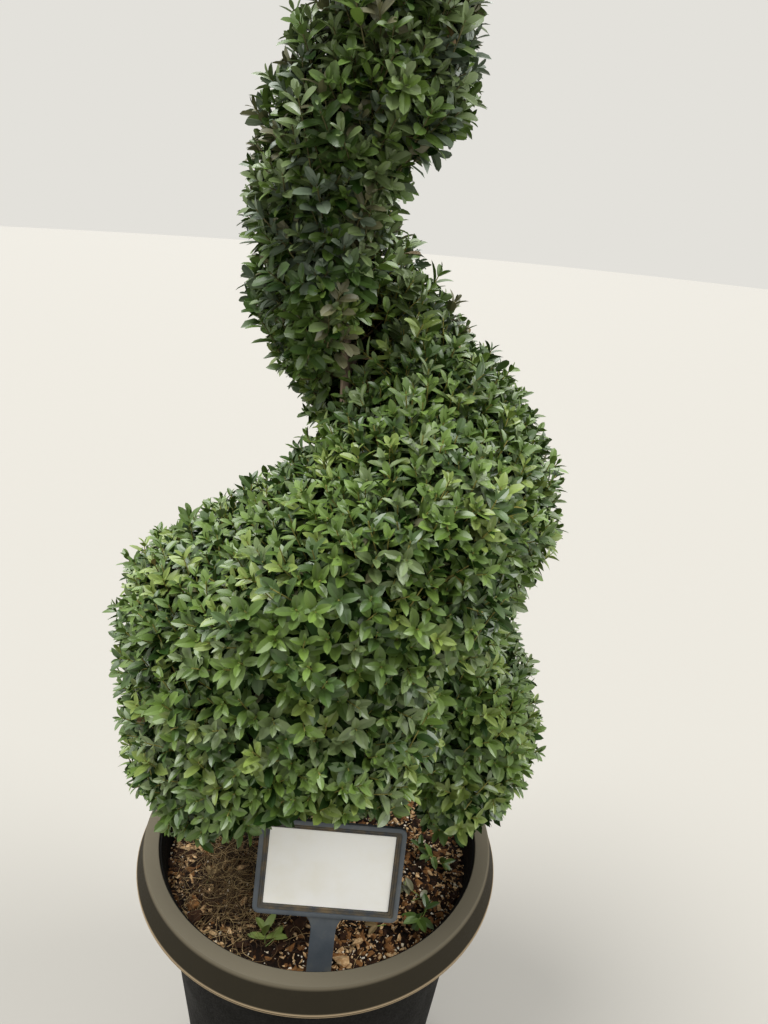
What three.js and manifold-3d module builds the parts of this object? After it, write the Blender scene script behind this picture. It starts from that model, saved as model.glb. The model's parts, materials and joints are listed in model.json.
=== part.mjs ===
// A boxwood clipped as a spiral, standing in a round nursery pot with a bare label holder.
// Millimetres, +Z up. The origin is the centre of the pot's flat underside and the front faces -Y.
// The clipped band climbs anticlockwise seen from above. A place along it is its phase in degrees:
// 0 is the right side (+X), 270 the front, and each turn adds 360.
import * as THREE from 'three';
import { mergeVertices } from 'three/addons/utils/BufferGeometryUtils.js';
import Module from 'manifold-3d';

const wasm = await Module();
wasm.setup();

// Clearance between neighbouring solids
const GAP = 0.3;
// Vertices closer than this are one
const SAME_PLACE = 0.001;
// Edges shorter than this, left by joining pieces, are closed up
const SLIVER = 0.06;
const TURN = 360;

// Pot: a tapered wall, a flange with a hanging skirt and a bead, and notches at the foot for drainage
const POT_HEIGHT = 370;
const POT_SIDES = 48;
const RIM_RADIUS = 215;
const RIM_INNER_RADIUS = 198;
const RIM_EDGE = 1;
const RIM_INNER_DEPTH = 16;
const SKIRT_DROP = 31;
const BEAD_RADIUS = 224;
const BEAD_SIZE = 3;
const WALL = 3;
const BODY_TOP_RADIUS = 195;
const BODY_TAPER = 0.0864;
const FOOT_CHAMFER = 6;
const FLOOR = 3.5;
const DRAIN_COUNT = 6;
const DRAIN_WIDTH = 34;
const DRAIN_HEIGHT = 14;
const DRAIN_REACH = 12;
const DRAIN_CUTTER_LENGTH = 40;

// Soil
const SOIL_EDGE_HEIGHT = 327;
const SOIL_TOP = 334;
const SOIL_FLAT_RADIUS = 34;
const SOIL_SIDES = 36;
const SOIL_UNEVEN = 2.5;
const SOIL_WAVE = 31;
const SOIL_RING_SHARES = [1, 0.8, 0.6, 0.4];

// Trunk
const TRUNK_FOOT_RADIUS = 13;
const TRUNK_FLARE = 7;
const TRUNK_FLARE_HEIGHT = 28;
const TRUNK_TOP = 1462;
const TRUNK_TOP_RADIUS = 2.2;
const TRUNK_TAPER_POWER = 0.6;
const TRUNK_SWAY = 4;
const TRUNK_SWAY_LENGTH = 400;
const TRUNK_SWAY_TURN = 3;
const TRUNK_SIDES = 12;
const TRUNK_RINGS = 34;
const TRUNK_RING_POWER = 1.6;
const BUTTRESSES = 5;
const BUTTRESS_DEPTH = 0.45;

// Clipped outline, as heights and radii that the leaf tips reach
const CROWN_BASE = 455;
const CROWN_FRONT_LIFT = 78;
const CROWN_FRONT_LIFT_PHASE = -85;
const CROWN_FRONT_LIFT_POWER = 4;
const CROWN_TOP = 1530;
const CROWN_TIP_RADIUS = 10;
const CROWN_TIP_SLOPE = 4;
const CROWN_SHIFT = 6;
const CROWN_SHIFT_TOP = 950;
const CROWN_SHIFT_FADE = 200;
const UNDERSIDE_RADIUS = 120;
const UNDERSIDE_SLOPE = 3.5;
const OUTLINE = [
  [480, 196], [540, 228], [620, 243], [700, 247], [800, 248], [880, 240], [950, 214], [1000, 172],
  [1050, 123], [1100, 106], [1200, 110], [1270, 104], [1360, 90], [1450, 66], [1500, 42], [1530, 10],
];

// Groove that turns the crown into a spiral. It starts shallow, lays the trunk bare at the front
// of its first turn, and then stays partly filled with leaves.
const GROOVE_HEIGHT = 752;
const PITCH = 345;
const FRONT_PHASE = 270;
const FRONT_SAG = 52;
const FRONT_SAG_SPREAD = 55;
const START_PHASE = -50;
const END_PHASE = 740;
const GROOVE_START_RADIUS = 190;
const GROOVE_BARE_RADIUS = 18;
const GROOVE_DEEPENS_OVER = 180;
const GROOVE_UPPER_RADIUS = 52;
const GROOVE_FILLS = { from: 285, over: 60 };
const GROOVE_FADES = { from: 640, over: 100, by: 14 };
const GROOVE_START_HALF_WIDTH = 4;
const GROOVE_HALF_WIDTH = 28;
const GROOVE_WIDENS = { from: 200, over: 50 };
const BARE_BELOW_RADIUS = 50;
const BARE_FADE = 30;
const UPPER_SLOPE = 0.8;
const SHELF_SLOPE_LOW = 1.5;
const SHELF_SLOPE_HIGH = 0.45;
const SHELF_FLATTENS = { from: 250, over: 290 };
// Below the groove's start a steep crease runs down to the underside
const CREASE_FOOT = { azimuth: -59, z: 545 };
const CREASE_HEAD = { azimuth: -44, z: 750 };
const CREASE_RADIUS = 178;
const CREASE_SLOPE = 0.9;
const CREASE_HEAD_SLOPE = 2;
// How sharply the clipped faces meet
const CORNER_SHARPNESS = 7;

// Foliage masses, cut from the band at these phases
const MASS_EDGES = [-410, -325, -235, -145, -50, 30, 115, 200, 290, 380, 500, 620, 740];
const CORE_DEPTH = 22;
const CORE_END_SHARE = 0.4;
const CORE_STEEPEST = 2.5;
const CORE_SLIT = 3;
const CORE_STEP_DEGREES = 22;
const CORE_SECTION_POINTS = 9;
const CORE_SCAN = 81;
const CORE_LEAST = 4;
const HOLLOW_SHARE = 0.13;
const HOLLOW_MIN_RADIUS = 15;
const TIP_CLEARANCE = 8;
const TIP_RADIUS = 5;
const TIP_CHAMFER = 0.5;

// Sprigs, with leaves larger than life so that a few hundred of them fill the outline
const SPRIG_SPACING = 112;
const SPRIG_TRIES = 5000;
const SPRIG_ROLLS = 8;
const SPRIG_DEPTH = 15;
const SPRIG_ROOT = 14;
const SPRIG_LEAVES = 5;
const TWIG_RADIUS = 2.9;
const TWIG_TIP_RADIUS = 2.1;
const TWIG_SIDES = 3;
const SIDE_TWIG_LENGTH = 36;
const SIDE_TWIG_ANGLE = 70;
const SIDE_TWIG_FORK = 0.2;
const SIDE_TWIG_THICKNESS = 0.8;
const LEAF_LENGTH = 59;
const LEAF_WIDTH = 31;
const LEAF_THICKNESS = 2.4;
const LEAF_BELLY = 0.42;
const LEAF_SUNK = 1.2;
const LEAF_SEAT = 1.5;
const OUTER_LEAF_ANGLE = 66;
const INNER_LEAF_ANGLE = 74;
const LEAF_PAIR_STEP = 5;
const FULL_LEAF_RADIUS = 190;
const SMALLEST_LEAF = 0.7;
const REACH_OVER = 16;
const SPACE_MARGIN = 0.6;
const SPACE_LEAST_RADIUS = 4;

// Boughs
const BOUGH_FOOT_RADIUS = 4.6;
const BOUGH_TIP_RADIUS = 3.2;
const BOUGH_SIDES = 7;
const BOUGH_RISE = 0.45;
const BOUGH_HEIGHT_SHARE = 0.42;
const STEM_RADIUS = 3.1;
const STEM_SIDES = 5;
const STEM_ROOT = 12;
const STEM_LENGTH = 5;

// Label holder: a frame on a flat stem, leaning back, with a bare card in it
const HOLDER_FOOT = [18.2, -170];
const HOLDER_YAW = 3.2;
const HOLDER_LEAN = 18;
const HOLDER_ROLL = -2.6;
const HOLDER_WIDTH = 157;
const HOLDER_HEIGHT = 107;
const HOLDER_THICKNESS = 3;
const HOLDER_FRAME_DEPTH = 5;
const HOLDER_CORNER = 8;
const HOLDER_LIP = 10.6;
const HOLDER_RECESS = 3.6;
const HOLDER_STEM_WIDTH = 27;
const HOLDER_STEM_TOP_WIDTH = 44;
const HOLDER_STEM_LENGTH = 64;
const HOLDER_STEM_FLARE = 16;
const HOLDER_STEM_OVERLAP = 4;
const HOLDER_STEM_BURIED = 32;
const HOLDER_POINT_SHARE = 0.3;
const CARD_THICKNESS = 0.6;
const CARD_CORNER = 1.5;
const CORNER_SEGMENTS = 3;

const radians = THREE.MathUtils.degToRad;
const degrees = THREE.MathUtils.radToDeg;
const clamp = THREE.MathUtils.clamp;
const lerp = THREE.MathUtils.lerp;
const ease = (x) => THREE.MathUtils.smoothstep(x, 0, 1);
const easeAlong = (phase, { from, over }) => ease((phase - from) / over);

function seededRandom(seed) {
  let state = seed;
  return () => {
    state = (state + 0x6d2b79f5) | 0;
    let t = Math.imul(state ^ (state >>> 15), 1 | state);
    t = (t + Math.imul(t ^ (t >>> 7), 61 | t)) ^ t;
    return ((t ^ (t >>> 14)) >>> 0) / 4294967296;
  };
}

function solidFrom(geometry) {
  const bare = geometry.clone();
  bare.deleteAttribute('normal');
  bare.deleteAttribute('uv');
  const merged = mergeVertices(bare, SAME_PLACE);
  const vertProperties = new Float32Array(merged.attributes.position.array);
  const triVerts = new Uint32Array(merged.index.array);
  return new wasm.Manifold(new wasm.Mesh({ numProp: 3, vertProperties, triVerts }));
}

function geometryFrom(solid) {
  const mesh = solid.getMesh();
  const geometry = new THREE.BufferGeometry();
  geometry.setAttribute('position', new THREE.BufferAttribute(new Float32Array(mesh.vertProperties), 3));
  geometry.setIndex(Array.from(mesh.triVerts));
  return geometry;
}

function largestPiece(solid) {
  return solid.decompose().reduce((large, piece) => (piece.volume() > large.volume() ? piece : large));
}

function geometryOfFaces(points, faces) {
  const geometry = new THREE.BufferGeometry();
  const flat = points.flatMap((point) => [point.x, point.y, point.z]);
  geometry.setAttribute('position', new THREE.Float32BufferAttribute(flat, 3));
  geometry.setIndex(faces.flat());
  return geometry;
}

// A closed skin over a row of rings that all have the same number of points
function skinRings(rings, capFaces) {
  const count = rings[0].length;
  const faces = [];
  for (let i = 0; i + 1 < rings.length; i += 1) {
    for (let j = 0; j < count; j += 1) {
      const a = i * count + j;
      const b = i * count + ((j + 1) % count);
      faces.push([a, b, b + count], [a, b + count, a + count]);
    }
  }
  const last = (rings.length - 1) * count;
  for (const [a, b, c] of capFaces) {
    faces.push([c, b, a], [last + a, last + b, last + c]);
  }
  return geometryOfFaces(rings.flat(), faces);
}

function fanFaces(count) {
  return Array.from({ length: count - 2 }, (_, i) => [0, i + 1, i + 2]);
}

// Any direction square to the one given
function squareTo(direction) {
  const upright = Math.abs(direction.z) >= 0.9;
  const helper = upright ? new THREE.Vector3(1, 0, 0) : new THREE.Vector3(0, 0, 1);
  return helper.cross(direction).normalize();
}

// A straight tapering limb between two points
function limb(start, end, startRadius, endRadius, sides) {
  const axis = end.clone().sub(start).normalize();
  const across = squareTo(axis);
  const up = axis.clone().cross(across);
  const ring = (centre, radius) => Array.from({ length: sides }, (_, i) => {
    const angle = (i / sides) * Math.PI * 2;
    return centre.clone()
      .addScaledVector(across, Math.cos(angle) * radius)
      .addScaledVector(up, Math.sin(angle) * radius);
  });
  return skinRings([ring(start, startRadius), ring(end, endRadius)], fanFaces(sides));
}

// Radius of the clipped outline at a height
function outlineRadius(z) {
  let i = 1;
  while (i < OUTLINE.length - 1 && z > OUTLINE[i][0]) i += 1;
  const [z0, r0] = OUTLINE[i - 1];
  const [z1, r1] = OUTLINE[i];
  return lerp(r0, r1, clamp((z - z0) / (z1 - z0), 0, 1));
}

function grooveHeight(phase) {
  const sag = FRONT_SAG * Math.exp(-(((phase - FRONT_PHASE) / FRONT_SAG_SPREAD) ** 2));
  return GROOVE_HEIGHT + (PITCH * Math.max(phase, 0)) / TURN - sag;
}

function grooveRadius(phase) {
  const deepening = ease(phase / GROOVE_DEEPENS_OVER);
  const bare = lerp(GROOVE_START_RADIUS, GROOVE_BARE_RADIUS, deepening);
  const filled = (GROOVE_UPPER_RADIUS - GROOVE_BARE_RADIUS) * easeAlong(phase, GROOVE_FILLS);
  return bare + filled - GROOVE_FADES.by * easeAlong(phase, GROOVE_FADES);
}

function grooveHalfWidth(phase) {
  return lerp(GROOVE_START_HALF_WIDTH, GROOVE_HALF_WIDTH, easeAlong(phase, GROOVE_WIDENS));
}

// How far the groove lays the trunk bare: 1 fully, 0 not at all
function bareness(phase) {
  return clamp((BARE_BELOW_RADIUS - grooveRadius(phase)) / BARE_FADE, 0, 1);
}

// Radius that the crease leaves at a phase and height, growing away from its line
function creaseRadius(phase, z) {
  const share = (z - CREASE_FOOT.z) / (CREASE_HEAD.z - CREASE_FOOT.z);
  const turn = phase - lerp(CREASE_FOOT.azimuth, CREASE_HEAD.azimuth, clamp(share, 0, 1));
  const away = radians(turn - TURN * Math.round(turn / TURN)) * CREASE_RADIUS;
  const overhead = CREASE_HEAD_SLOPE * Math.max(0, z - CREASE_HEAD.z);
  return CREASE_RADIUS + CREASE_SLOPE * Math.abs(away) + overhead;
}

function shelfSlope(phase) {
  return lerp(SHELF_SLOPE_LOW, SHELF_SLOPE_HIGH, easeAlong(phase, SHELF_FLATTENS));
}

function crownBase(phase) {
  const facing = Math.max(0, Math.cos(radians(phase - CROWN_FRONT_LIFT_PHASE)));
  return CROWN_BASE + CROWN_FRONT_LIFT * facing ** CROWN_FRONT_LIFT_POWER;
}

// Lowest and highest height of the band at a phase
function bandHeights(phase) {
  let low = crownBase(phase);
  if (phase >= START_PHASE) {
    low = Math.max(low, grooveHeight(phase) + grooveHalfWidth(phase) * bareness(phase));
  }
  const above = phase + TURN;
  const high = above > END_PHASE
    ? CROWN_TOP
    : grooveHeight(above) - grooveHalfWidth(above) * bareness(above);
  return [low, high];
}

// How far out the leaf tips reach at a phase and height
function bandRadius(phase, z) {
  const above = phase + TURN;
  const underside = UNDERSIDE_RADIUS + UNDERSIDE_SLOPE * Math.max(0, z - crownBase(phase));
  let fromBelow = underside;
  if (phase >= START_PHASE) {
    const rise = Math.max(0, z - grooveHeight(phase) - grooveHalfWidth(phase));
    fromBelow = Math.min(underside, grooveRadius(phase) + UPPER_SLOPE * rise);
  }
  let fromAbove = CROWN_TIP_RADIUS + CROWN_TIP_SLOPE * (CROWN_TOP - z);
  if (above <= END_PHASE) {
    const drop = Math.max(0, grooveHeight(above) - grooveHalfWidth(above) - z);
    fromAbove = grooveRadius(above) + shelfSlope(above) * drop;
  }
  const sum = [outlineRadius(z), fromBelow, fromAbove, creaseRadius(phase, z)]
    .reduce((total, radius) => total + Math.max(radius, 1) ** -CORNER_SHARPNESS, 0);
  return sum ** (-1 / CORNER_SHARPNESS);
}

function crownShift(z) {
  return CROWN_SHIFT * clamp((CROWN_SHIFT_TOP - z) / CROWN_SHIFT_FADE, 0, 1);
}

function placeAt(phase, radius, z) {
  const angle = radians(phase);
  return new THREE.Vector3(radius * Math.cos(angle) + crownShift(z), radius * Math.sin(angle), z);
}

function bandPoint(phase, z) {
  return placeAt(phase, bandRadius(phase, z), z);
}

function leafScale(z) {
  return clamp(outlineRadius(z) / FULL_LEAF_RADIUS, SMALLEST_LEAF, 1);
}

// Radius of the bare space that each core leaves round the trunk
function hollowRadius(phase) {
  const [low, high] = bandHeights(phase);
  return Math.max(HOLLOW_MIN_RADIUS, HOLLOW_SHARE * outlineRadius((low + high) / 2));
}

function coreInnerRadius(phase, z) {
  return z > TRUNK_TOP + TIP_CLEARANCE ? TIP_RADIUS : hollowRadius(phase);
}

// Radius of a core: the outline less the leaves' depth, measured square to the outline
function coreRadius(phase, z) {
  const rise = 2;
  const change = bandRadius(phase, z + rise) - bandRadius(phase, z - rise);
  const slope = clamp(change / (2 * rise), -CORE_STEEPEST, CORE_STEEPEST);
  return bandRadius(phase, z) - CORE_DEPTH * leafScale(z) * Math.hypot(1, slope);
}

// One slice of a core: up its outer side, then back down beside the trunk
function coreSection(phase) {
  const [low, high] = bandHeights(phase);
  const margin = CORE_DEPTH * CORE_END_SHARE;
  const scan = (_, i) => lerp(low + margin, high - margin, i / (CORE_SCAN - 1));
  const heights = Array.from({ length: CORE_SCAN }, scan)
    .filter((z) => coreRadius(phase, z) > coreInnerRadius(phase, z) + CORE_LEAST);
  const bottom = heights[0];
  const top = heights[heights.length - 1];
  const section = [];
  for (let i = 0; i <= CORE_SECTION_POINTS; i += 1) {
    const z = lerp(bottom, top, (1 - Math.cos((i / CORE_SECTION_POINTS) * Math.PI)) / 2);
    section.push([Math.max(coreRadius(phase, z), coreInnerRadius(phase, z) + CORE_LEAST), z]);
  }
  const inner = hollowRadius(phase);
  if (top > TRUNK_TOP + TIP_CLEARANCE) {
    const shoulder = Math.max(TRUNK_TOP + TIP_CLEARANCE, bottom + 1);
    section.push([TIP_RADIUS, top], [TIP_RADIUS, shoulder], [inner, shoulder - TIP_CHAMFER]);
  } else {
    section.push([inner, top]);
  }
  section.push([inner, bottom]);
  return section;
}

function coreSolid(from, to) {
  const middle = (from + to) / 2;
  const [low, high] = bandHeights(middle);
  const slit = degrees(CORE_SLIT / outlineRadius((low + high) / 2));
  const start = from + slit;
  const end = to - slit;
  const steps = Math.ceil((end - start) / CORE_STEP_DEGREES);
  const rings = [];
  let capFaces = [];
  for (let i = 0; i <= steps; i += 1) {
    const phase = lerp(start, end, i / steps);
    const section = coreSection(phase);
    rings.push(section.map(([radius, z]) => placeAt(phase, radius, z)));
    if (i === 0) {
      const contour = section.map(([radius, z]) => new THREE.Vector2(radius, z));
      capFaces = THREE.ShapeUtils.triangulateShape(contour, []);
    }
  }
  const solid = solidFrom(skinRings(rings, capFaces));
  return solid.volume() > 0 ? solid : solidFrom(skinRings([...rings].reverse(), capFaces));
}

// True where a point lies in the mass's own space, with room round it
function inSpace(point, from, to, room = SPACE_MARGIN) {
  const x = point.x - crownShift(point.z);
  const radius = Math.hypot(x, point.y);
  const middle = (from + to) / 2;
  let phase = degrees(Math.atan2(point.y, x));
  phase += TURN * Math.round((middle - phase) / TURN);
  const margin = degrees(room / Math.max(radius, SPACE_LEAST_RADIUS));
  if (phase < from + margin || phase > to - margin) return false;
  const lowGroove = phase >= START_PHASE ? grooveHeight(phase) : -Infinity;
  const highGroove = phase + TURN <= END_PHASE ? grooveHeight(phase + TURN) : Infinity;
  if (point.z < lowGroove + room * 2 || point.z > highGroove - room * 2) return false;
  if (point.z < crownBase(phase) - REACH_OVER || point.z > CROWN_TOP) return false;
  const reach = bandRadius(phase, clamp(point.z, ...bandHeights(phase))) + REACH_OVER;
  return radius > HOLLOW_MIN_RADIUS && radius < reach;
}

function leafPoints(root, direction, outward, scale) {
  const length = LEAF_LENGTH * scale;
  const face = outward.clone().addScaledVector(direction, -outward.dot(direction)).normalize();
  const side = direction.clone().cross(face);
  const belly = root.clone().addScaledVector(direction, length * LEAF_BELLY);
  const half = (LEAF_WIDTH * scale) / 2;
  const thick = (LEAF_THICKNESS * scale) / 2;
  return [
    root.clone().addScaledVector(direction, -LEAF_SUNK),
    belly.clone().addScaledVector(side, half),
    root.clone().addScaledVector(direction, length),
    belly.clone().addScaledVector(side, -half),
    belly.clone().addScaledVector(face, thick),
    belly.clone().addScaledVector(face, -thick),
  ];
}

const LEAF_FACES = [
  [0, 1, 4], [1, 2, 4], [2, 3, 4], [3, 0, 4],
  [1, 0, 5], [2, 1, 5], [3, 2, 5], [0, 3, 5],
];

function tilted(outward, across, angle) {
  return outward.clone().multiplyScalar(Math.cos(radians(angle)))
    .addScaledVector(across, Math.sin(radians(angle))).normalize();
}

// Twigs and leaves of one sprig that fit in the mass's space, at one roll about its twig
function sprigParts(target, outward, roll, scale, from, to) {
  const across = squareTo(outward).applyAxisAngle(outward, roll);
  const over = outward.clone().cross(across);
  const tip = target.clone().addScaledVector(outward, -SPRIG_DEPTH * scale);
  const root = target.clone().addScaledVector(outward, -(CORE_DEPTH * scale + SPRIG_ROOT));
  const fork = tip.clone().lerp(root, SIDE_TWIG_FORK);
  const sideWay = tilted(outward, over, SIDE_TWIG_ANGLE);
  const sideTip = fork.clone().addScaledVector(sideWay, SIDE_TWIG_LENGTH * scale);
  const twigs = [];
  const leaves = [];
  const addLeaf = (at, direction) => {
    const points = leafPoints(at, direction, outward, scale);
    if (points.slice(1).every((point) => inSpace(point, from, to))) leaves.push(points);
  };
  const addPair = (at, way) => {
    for (const sign of [1, -1]) {
      addLeaf(at, tilted(way, across.clone().multiplyScalar(sign), OUTER_LEAF_ANGLE));
    }
  };
  const twigFits = (point) => inSpace(point, from, to, SPACE_MARGIN + TWIG_RADIUS);
  if (!twigFits(tip) || !twigFits(root)) return { twigs, leaves };
  twigs.push(limb(root, tip, TWIG_RADIUS, TWIG_TIP_RADIUS, TWIG_SIDES));
  const upper = tip.clone().addScaledVector(outward, -LEAF_SEAT);
  const lower = tip.clone().addScaledVector(outward, -LEAF_SEAT - LEAF_PAIR_STEP * scale);
  addPair(upper, outward);
  addLeaf(lower, tilted(outward, over.clone().negate(), INNER_LEAF_ANGLE));
  if (twigFits(sideTip)) {
    const before = leaves.length;
    addPair(sideTip.clone().addScaledVector(sideWay, -LEAF_SEAT), sideWay);
    if (leaves.length > before) {
      twigs.push(limb(fork, sideTip, TWIG_RADIUS * SIDE_TWIG_THICKNESS, TWIG_TIP_RADIUS, TWIG_SIDES));
    }
  }
  return { twigs, leaves };
}

// Even places on the outline of one mass, by throwing darts that keep their distance
function sprigTargets(from, to, random) {
  const targets = [];
  for (let i = 0; i < SPRIG_TRIES; i += 1) {
    const phase = lerp(from, to, random());
    const [low, high] = bandHeights(phase);
    const z = lerp(low, high, random());
    const point = bandPoint(phase, z);
    const along = bandPoint(phase + 1, z).sub(point);
    const upward = bandPoint(phase, z + 2).sub(point);
    const outward = along.cross(upward).normalize();
    const spacing = SPRIG_SPACING * leafScale(z);
    const free = targets.every((other) => other.point.distanceTo(point) > spacing);
    if (free) targets.push({ point, outward, scale: leafScale(z) });
  }
  return targets;
}

// The sprig at one target that keeps most leaves, out of several rolls about its twig
function fullestSprig({ point, outward, scale }, random, from, to) {
  let best = { twigs: [], leaves: [] };
  const turn = random() * Math.PI;
  for (let i = 0; i < SPRIG_ROLLS && best.leaves.length < SPRIG_LEAVES; i += 1) {
    const roll = turn + (i / SPRIG_ROLLS) * Math.PI * 2;
    const tried = sprigParts(point, outward, roll, scale, from, to);
    if (tried.leaves.length > best.leaves.length) best = tried;
  }
  return best;
}

// The line of a mass's bough, from the trunk's axis out to the core
function boughLine(from, to) {
  const phase = (from + to) / 2;
  const section = coreSection(phase);
  const lowest = section[0][1];
  const highest = Math.min(section[CORE_SECTION_POINTS][1], TRUNK_TOP);
  const inner = hollowRadius(phase);
  const z = lerp(lowest, highest, BOUGH_HEIGHT_SHARE);
  const end = placeAt(phase, inner, z);
  const foot = z - inner * BOUGH_RISE;
  const start = new THREE.Vector3(trunkSway(foot, 0), trunkSway(foot, TRUNK_SWAY_TURN), foot);
  return { start, end };
}

function foliageSolid(from, to, seed) {
  const random = seededRandom(seed);
  const { start, end } = boughLine(from, to);
  const way = end.clone().sub(start).normalize();
  const stemStart = end.clone().addScaledVector(way, -STEM_LENGTH);
  const stemEnd = end.clone().addScaledVector(way, STEM_ROOT);
  const stem = limb(stemStart, stemEnd, STEM_RADIUS, STEM_RADIUS, STEM_SIDES);
  const pieces = [coreSolid(from, to), solidFrom(stem)];
  for (const target of sprigTargets(from, to, random)) {
    const { twigs, leaves } = fullestSprig(target, random, from, to);
    for (const twig of twigs) pieces.push(solidFrom(twig));
    for (const leaf of leaves) pieces.push(solidFrom(geometryOfFaces(leaf, LEAF_FACES)));
  }
  // Loose scraps and sealed hollows are dropped, and again after the rounding to 32 bits
  const fused = largestPiece(wasm.Manifold.union(pieces).simplify(SLIVER));
  return largestPiece(solidFrom(geometryFrom(fused)).simplify(SLIVER));
}

function trunkSway(z, turn) {
  const rise = z - SOIL_TOP;
  return TRUNK_SWAY * (Math.sin((rise / TRUNK_SWAY_LENGTH) * Math.PI * 2 + turn) - Math.sin(turn));
}

// The trunk's skin, grown by a clearance and sunk by a depth where it serves as a cutter
function trunkGeometry(grown = 0, sunk = 0) {
  const foot = SOIL_TOP + GAP - sunk;
  const rings = [];
  for (let i = 0; i <= TRUNK_RINGS; i += 1) {
    const share = (i / TRUNK_RINGS) ** TRUNK_RING_POWER;
    const z = lerp(foot, TRUNK_TOP, share);
    const flare = TRUNK_FLARE * Math.exp(-(z - foot) / TRUNK_FLARE_HEIGHT);
    const radius = lerp(TRUNK_FOOT_RADIUS, TRUNK_TOP_RADIUS, share ** TRUNK_TAPER_POWER) + grown;
    rings.push(Array.from({ length: TRUNK_SIDES }, (_, j) => {
      const angle = (j / TRUNK_SIDES) * Math.PI * 2;
      const buttress = 1 + BUTTRESS_DEPTH * Math.cos(angle * BUTTRESSES + 1);
      const reach = radius + flare * buttress;
      return new THREE.Vector3(
        trunkSway(z, 0) + reach * Math.cos(angle),
        trunkSway(z, TRUNK_SWAY_TURN) + reach * Math.sin(angle),
        z,
      );
    }));
  }
  return skinRings(rings, fanFaces(TRUNK_SIDES));
}

function boughSolid(from, to) {
  const { start, end } = boughLine(from, to);
  const way = end.clone().sub(start).normalize();
  const tip = end.clone().addScaledVector(way, -STEM_LENGTH - GAP);
  const whole = solidFrom(limb(start, tip, BOUGH_FOOT_RADIUS, BOUGH_TIP_RADIUS, BOUGH_SIDES));
  const cutter = solidFrom(trunkGeometry(GAP, TRUNK_FLARE));
  const cut = whole.subtract(cutter).simplify(SLIVER);
  const outside = (piece) => {
    const box = piece.boundingBox();
    return Math.hypot((box.min[0] + box.max[0]) / 2, (box.min[1] + box.max[1]) / 2);
  };
  return cut.decompose().reduce((far, piece) => (outside(piece) > outside(far) ? piece : far));
}

function bodyRadius(z) {
  return BODY_TOP_RADIUS - BODY_TAPER * (POT_HEIGHT - z);
}

function potSolid() {
  const underRim = POT_HEIGHT - WALL - RIM_EDGE;
  const rimInnerFoot = POT_HEIGHT - RIM_INNER_DEPTH;
  const beadZ = POT_HEIGHT - SKIRT_DROP;
  const floorCorner = FLOOR + FOOT_CHAMFER;
  const profile = [
    [0, 0],
    [bodyRadius(0) - FOOT_CHAMFER, 0],
    [bodyRadius(FOOT_CHAMFER), FOOT_CHAMFER],
    [bodyRadius(underRim), underRim],
    [RIM_RADIUS - WALL - RIM_EDGE, underRim],
    [BEAD_RADIUS - WALL - RIM_EDGE, beadZ + BEAD_SIZE],
    [BEAD_RADIUS - WALL, beadZ - BEAD_SIZE],
    [BEAD_RADIUS, beadZ - BEAD_SIZE],
    [BEAD_RADIUS + RIM_EDGE, beadZ],
    [BEAD_RADIUS - RIM_EDGE, beadZ + BEAD_SIZE],
    [RIM_RADIUS + RIM_EDGE, POT_HEIGHT - WALL],
    [RIM_RADIUS - RIM_EDGE, POT_HEIGHT],
    [RIM_INNER_RADIUS, POT_HEIGHT],
    [bodyRadius(rimInnerFoot) - WALL, rimInnerFoot],
    [bodyRadius(floorCorner) - WALL, floorCorner],
    [bodyRadius(FLOOR) - WALL - FOOT_CHAMFER, FLOOR],
    [0, FLOOR],
  ];
  const lathe = new THREE.LatheGeometry(profile.map(([r, z]) => new THREE.Vector2(r, z)), POT_SIDES);
  lathe.rotateX(Math.PI / 2);
  let pot = solidFrom(lathe);
  for (let i = 0; i < DRAIN_COUNT; i += 1) {
    const drain = new THREE.BoxGeometry(DRAIN_CUTTER_LENGTH, DRAIN_WIDTH, DRAIN_HEIGHT * 2);
    drain.translate(bodyRadius(0) - DRAIN_REACH + DRAIN_CUTTER_LENGTH / 2, 0, 0);
    drain.rotateZ(((i + 0.5) / DRAIN_COUNT) * Math.PI * 2);
    pot = pot.subtract(solidFrom(drain));
  }
  return pot;
}

function soilSurface(radius, angle) {
  const edge = bodyRadius(SOIL_EDGE_HEIGHT) - WALL;
  const share = clamp((radius - SOIL_FLAT_RADIUS) / (edge - SOIL_FLAT_RADIUS), 0, 1);
  const bumps = Math.sin(angle * 3 + 1) + Math.sin(angle * 5 + radius / SOIL_WAVE);
  return lerp(SOIL_TOP, SOIL_EDGE_HEIGHT, share) + SOIL_UNEVEN * bumps * Math.sin(share * Math.PI);
}

function soilSolid(holder) {
  const ring = (radius, height) => Array.from({ length: SOIL_SIDES }, (_, i) => {
    const angle = (i / SOIL_SIDES) * Math.PI * 2;
    return new THREE.Vector3(radius * Math.cos(angle), radius * Math.sin(angle), height(angle));
  });
  const floor = FLOOR + GAP;
  // A polygon inside a rounder one keeps clear of it at its corners
  const fit = (z) => bodyRadius(z) * Math.cos(Math.PI / POT_SIDES) - WALL - GAP * 2;
  const edge = fit(SOIL_EDGE_HEIGHT);
  const topRing = (share) => ring(edge * share, (angle) => soilSurface(edge * share, angle));
  const rings = [
    ring(fit(floor) - FOOT_CHAMFER - 1, () => floor),
    ring(fit(floor + FOOT_CHAMFER), () => floor + FOOT_CHAMFER),
    ...SOIL_RING_SHARES.map(topRing),
    ring(SOIL_FLAT_RADIUS, () => SOIL_TOP),
  ];
  const whole = solidFrom(skinRings(rings, fanFaces(SOIL_SIDES)));
  return whole.subtract(holder);
}

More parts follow.
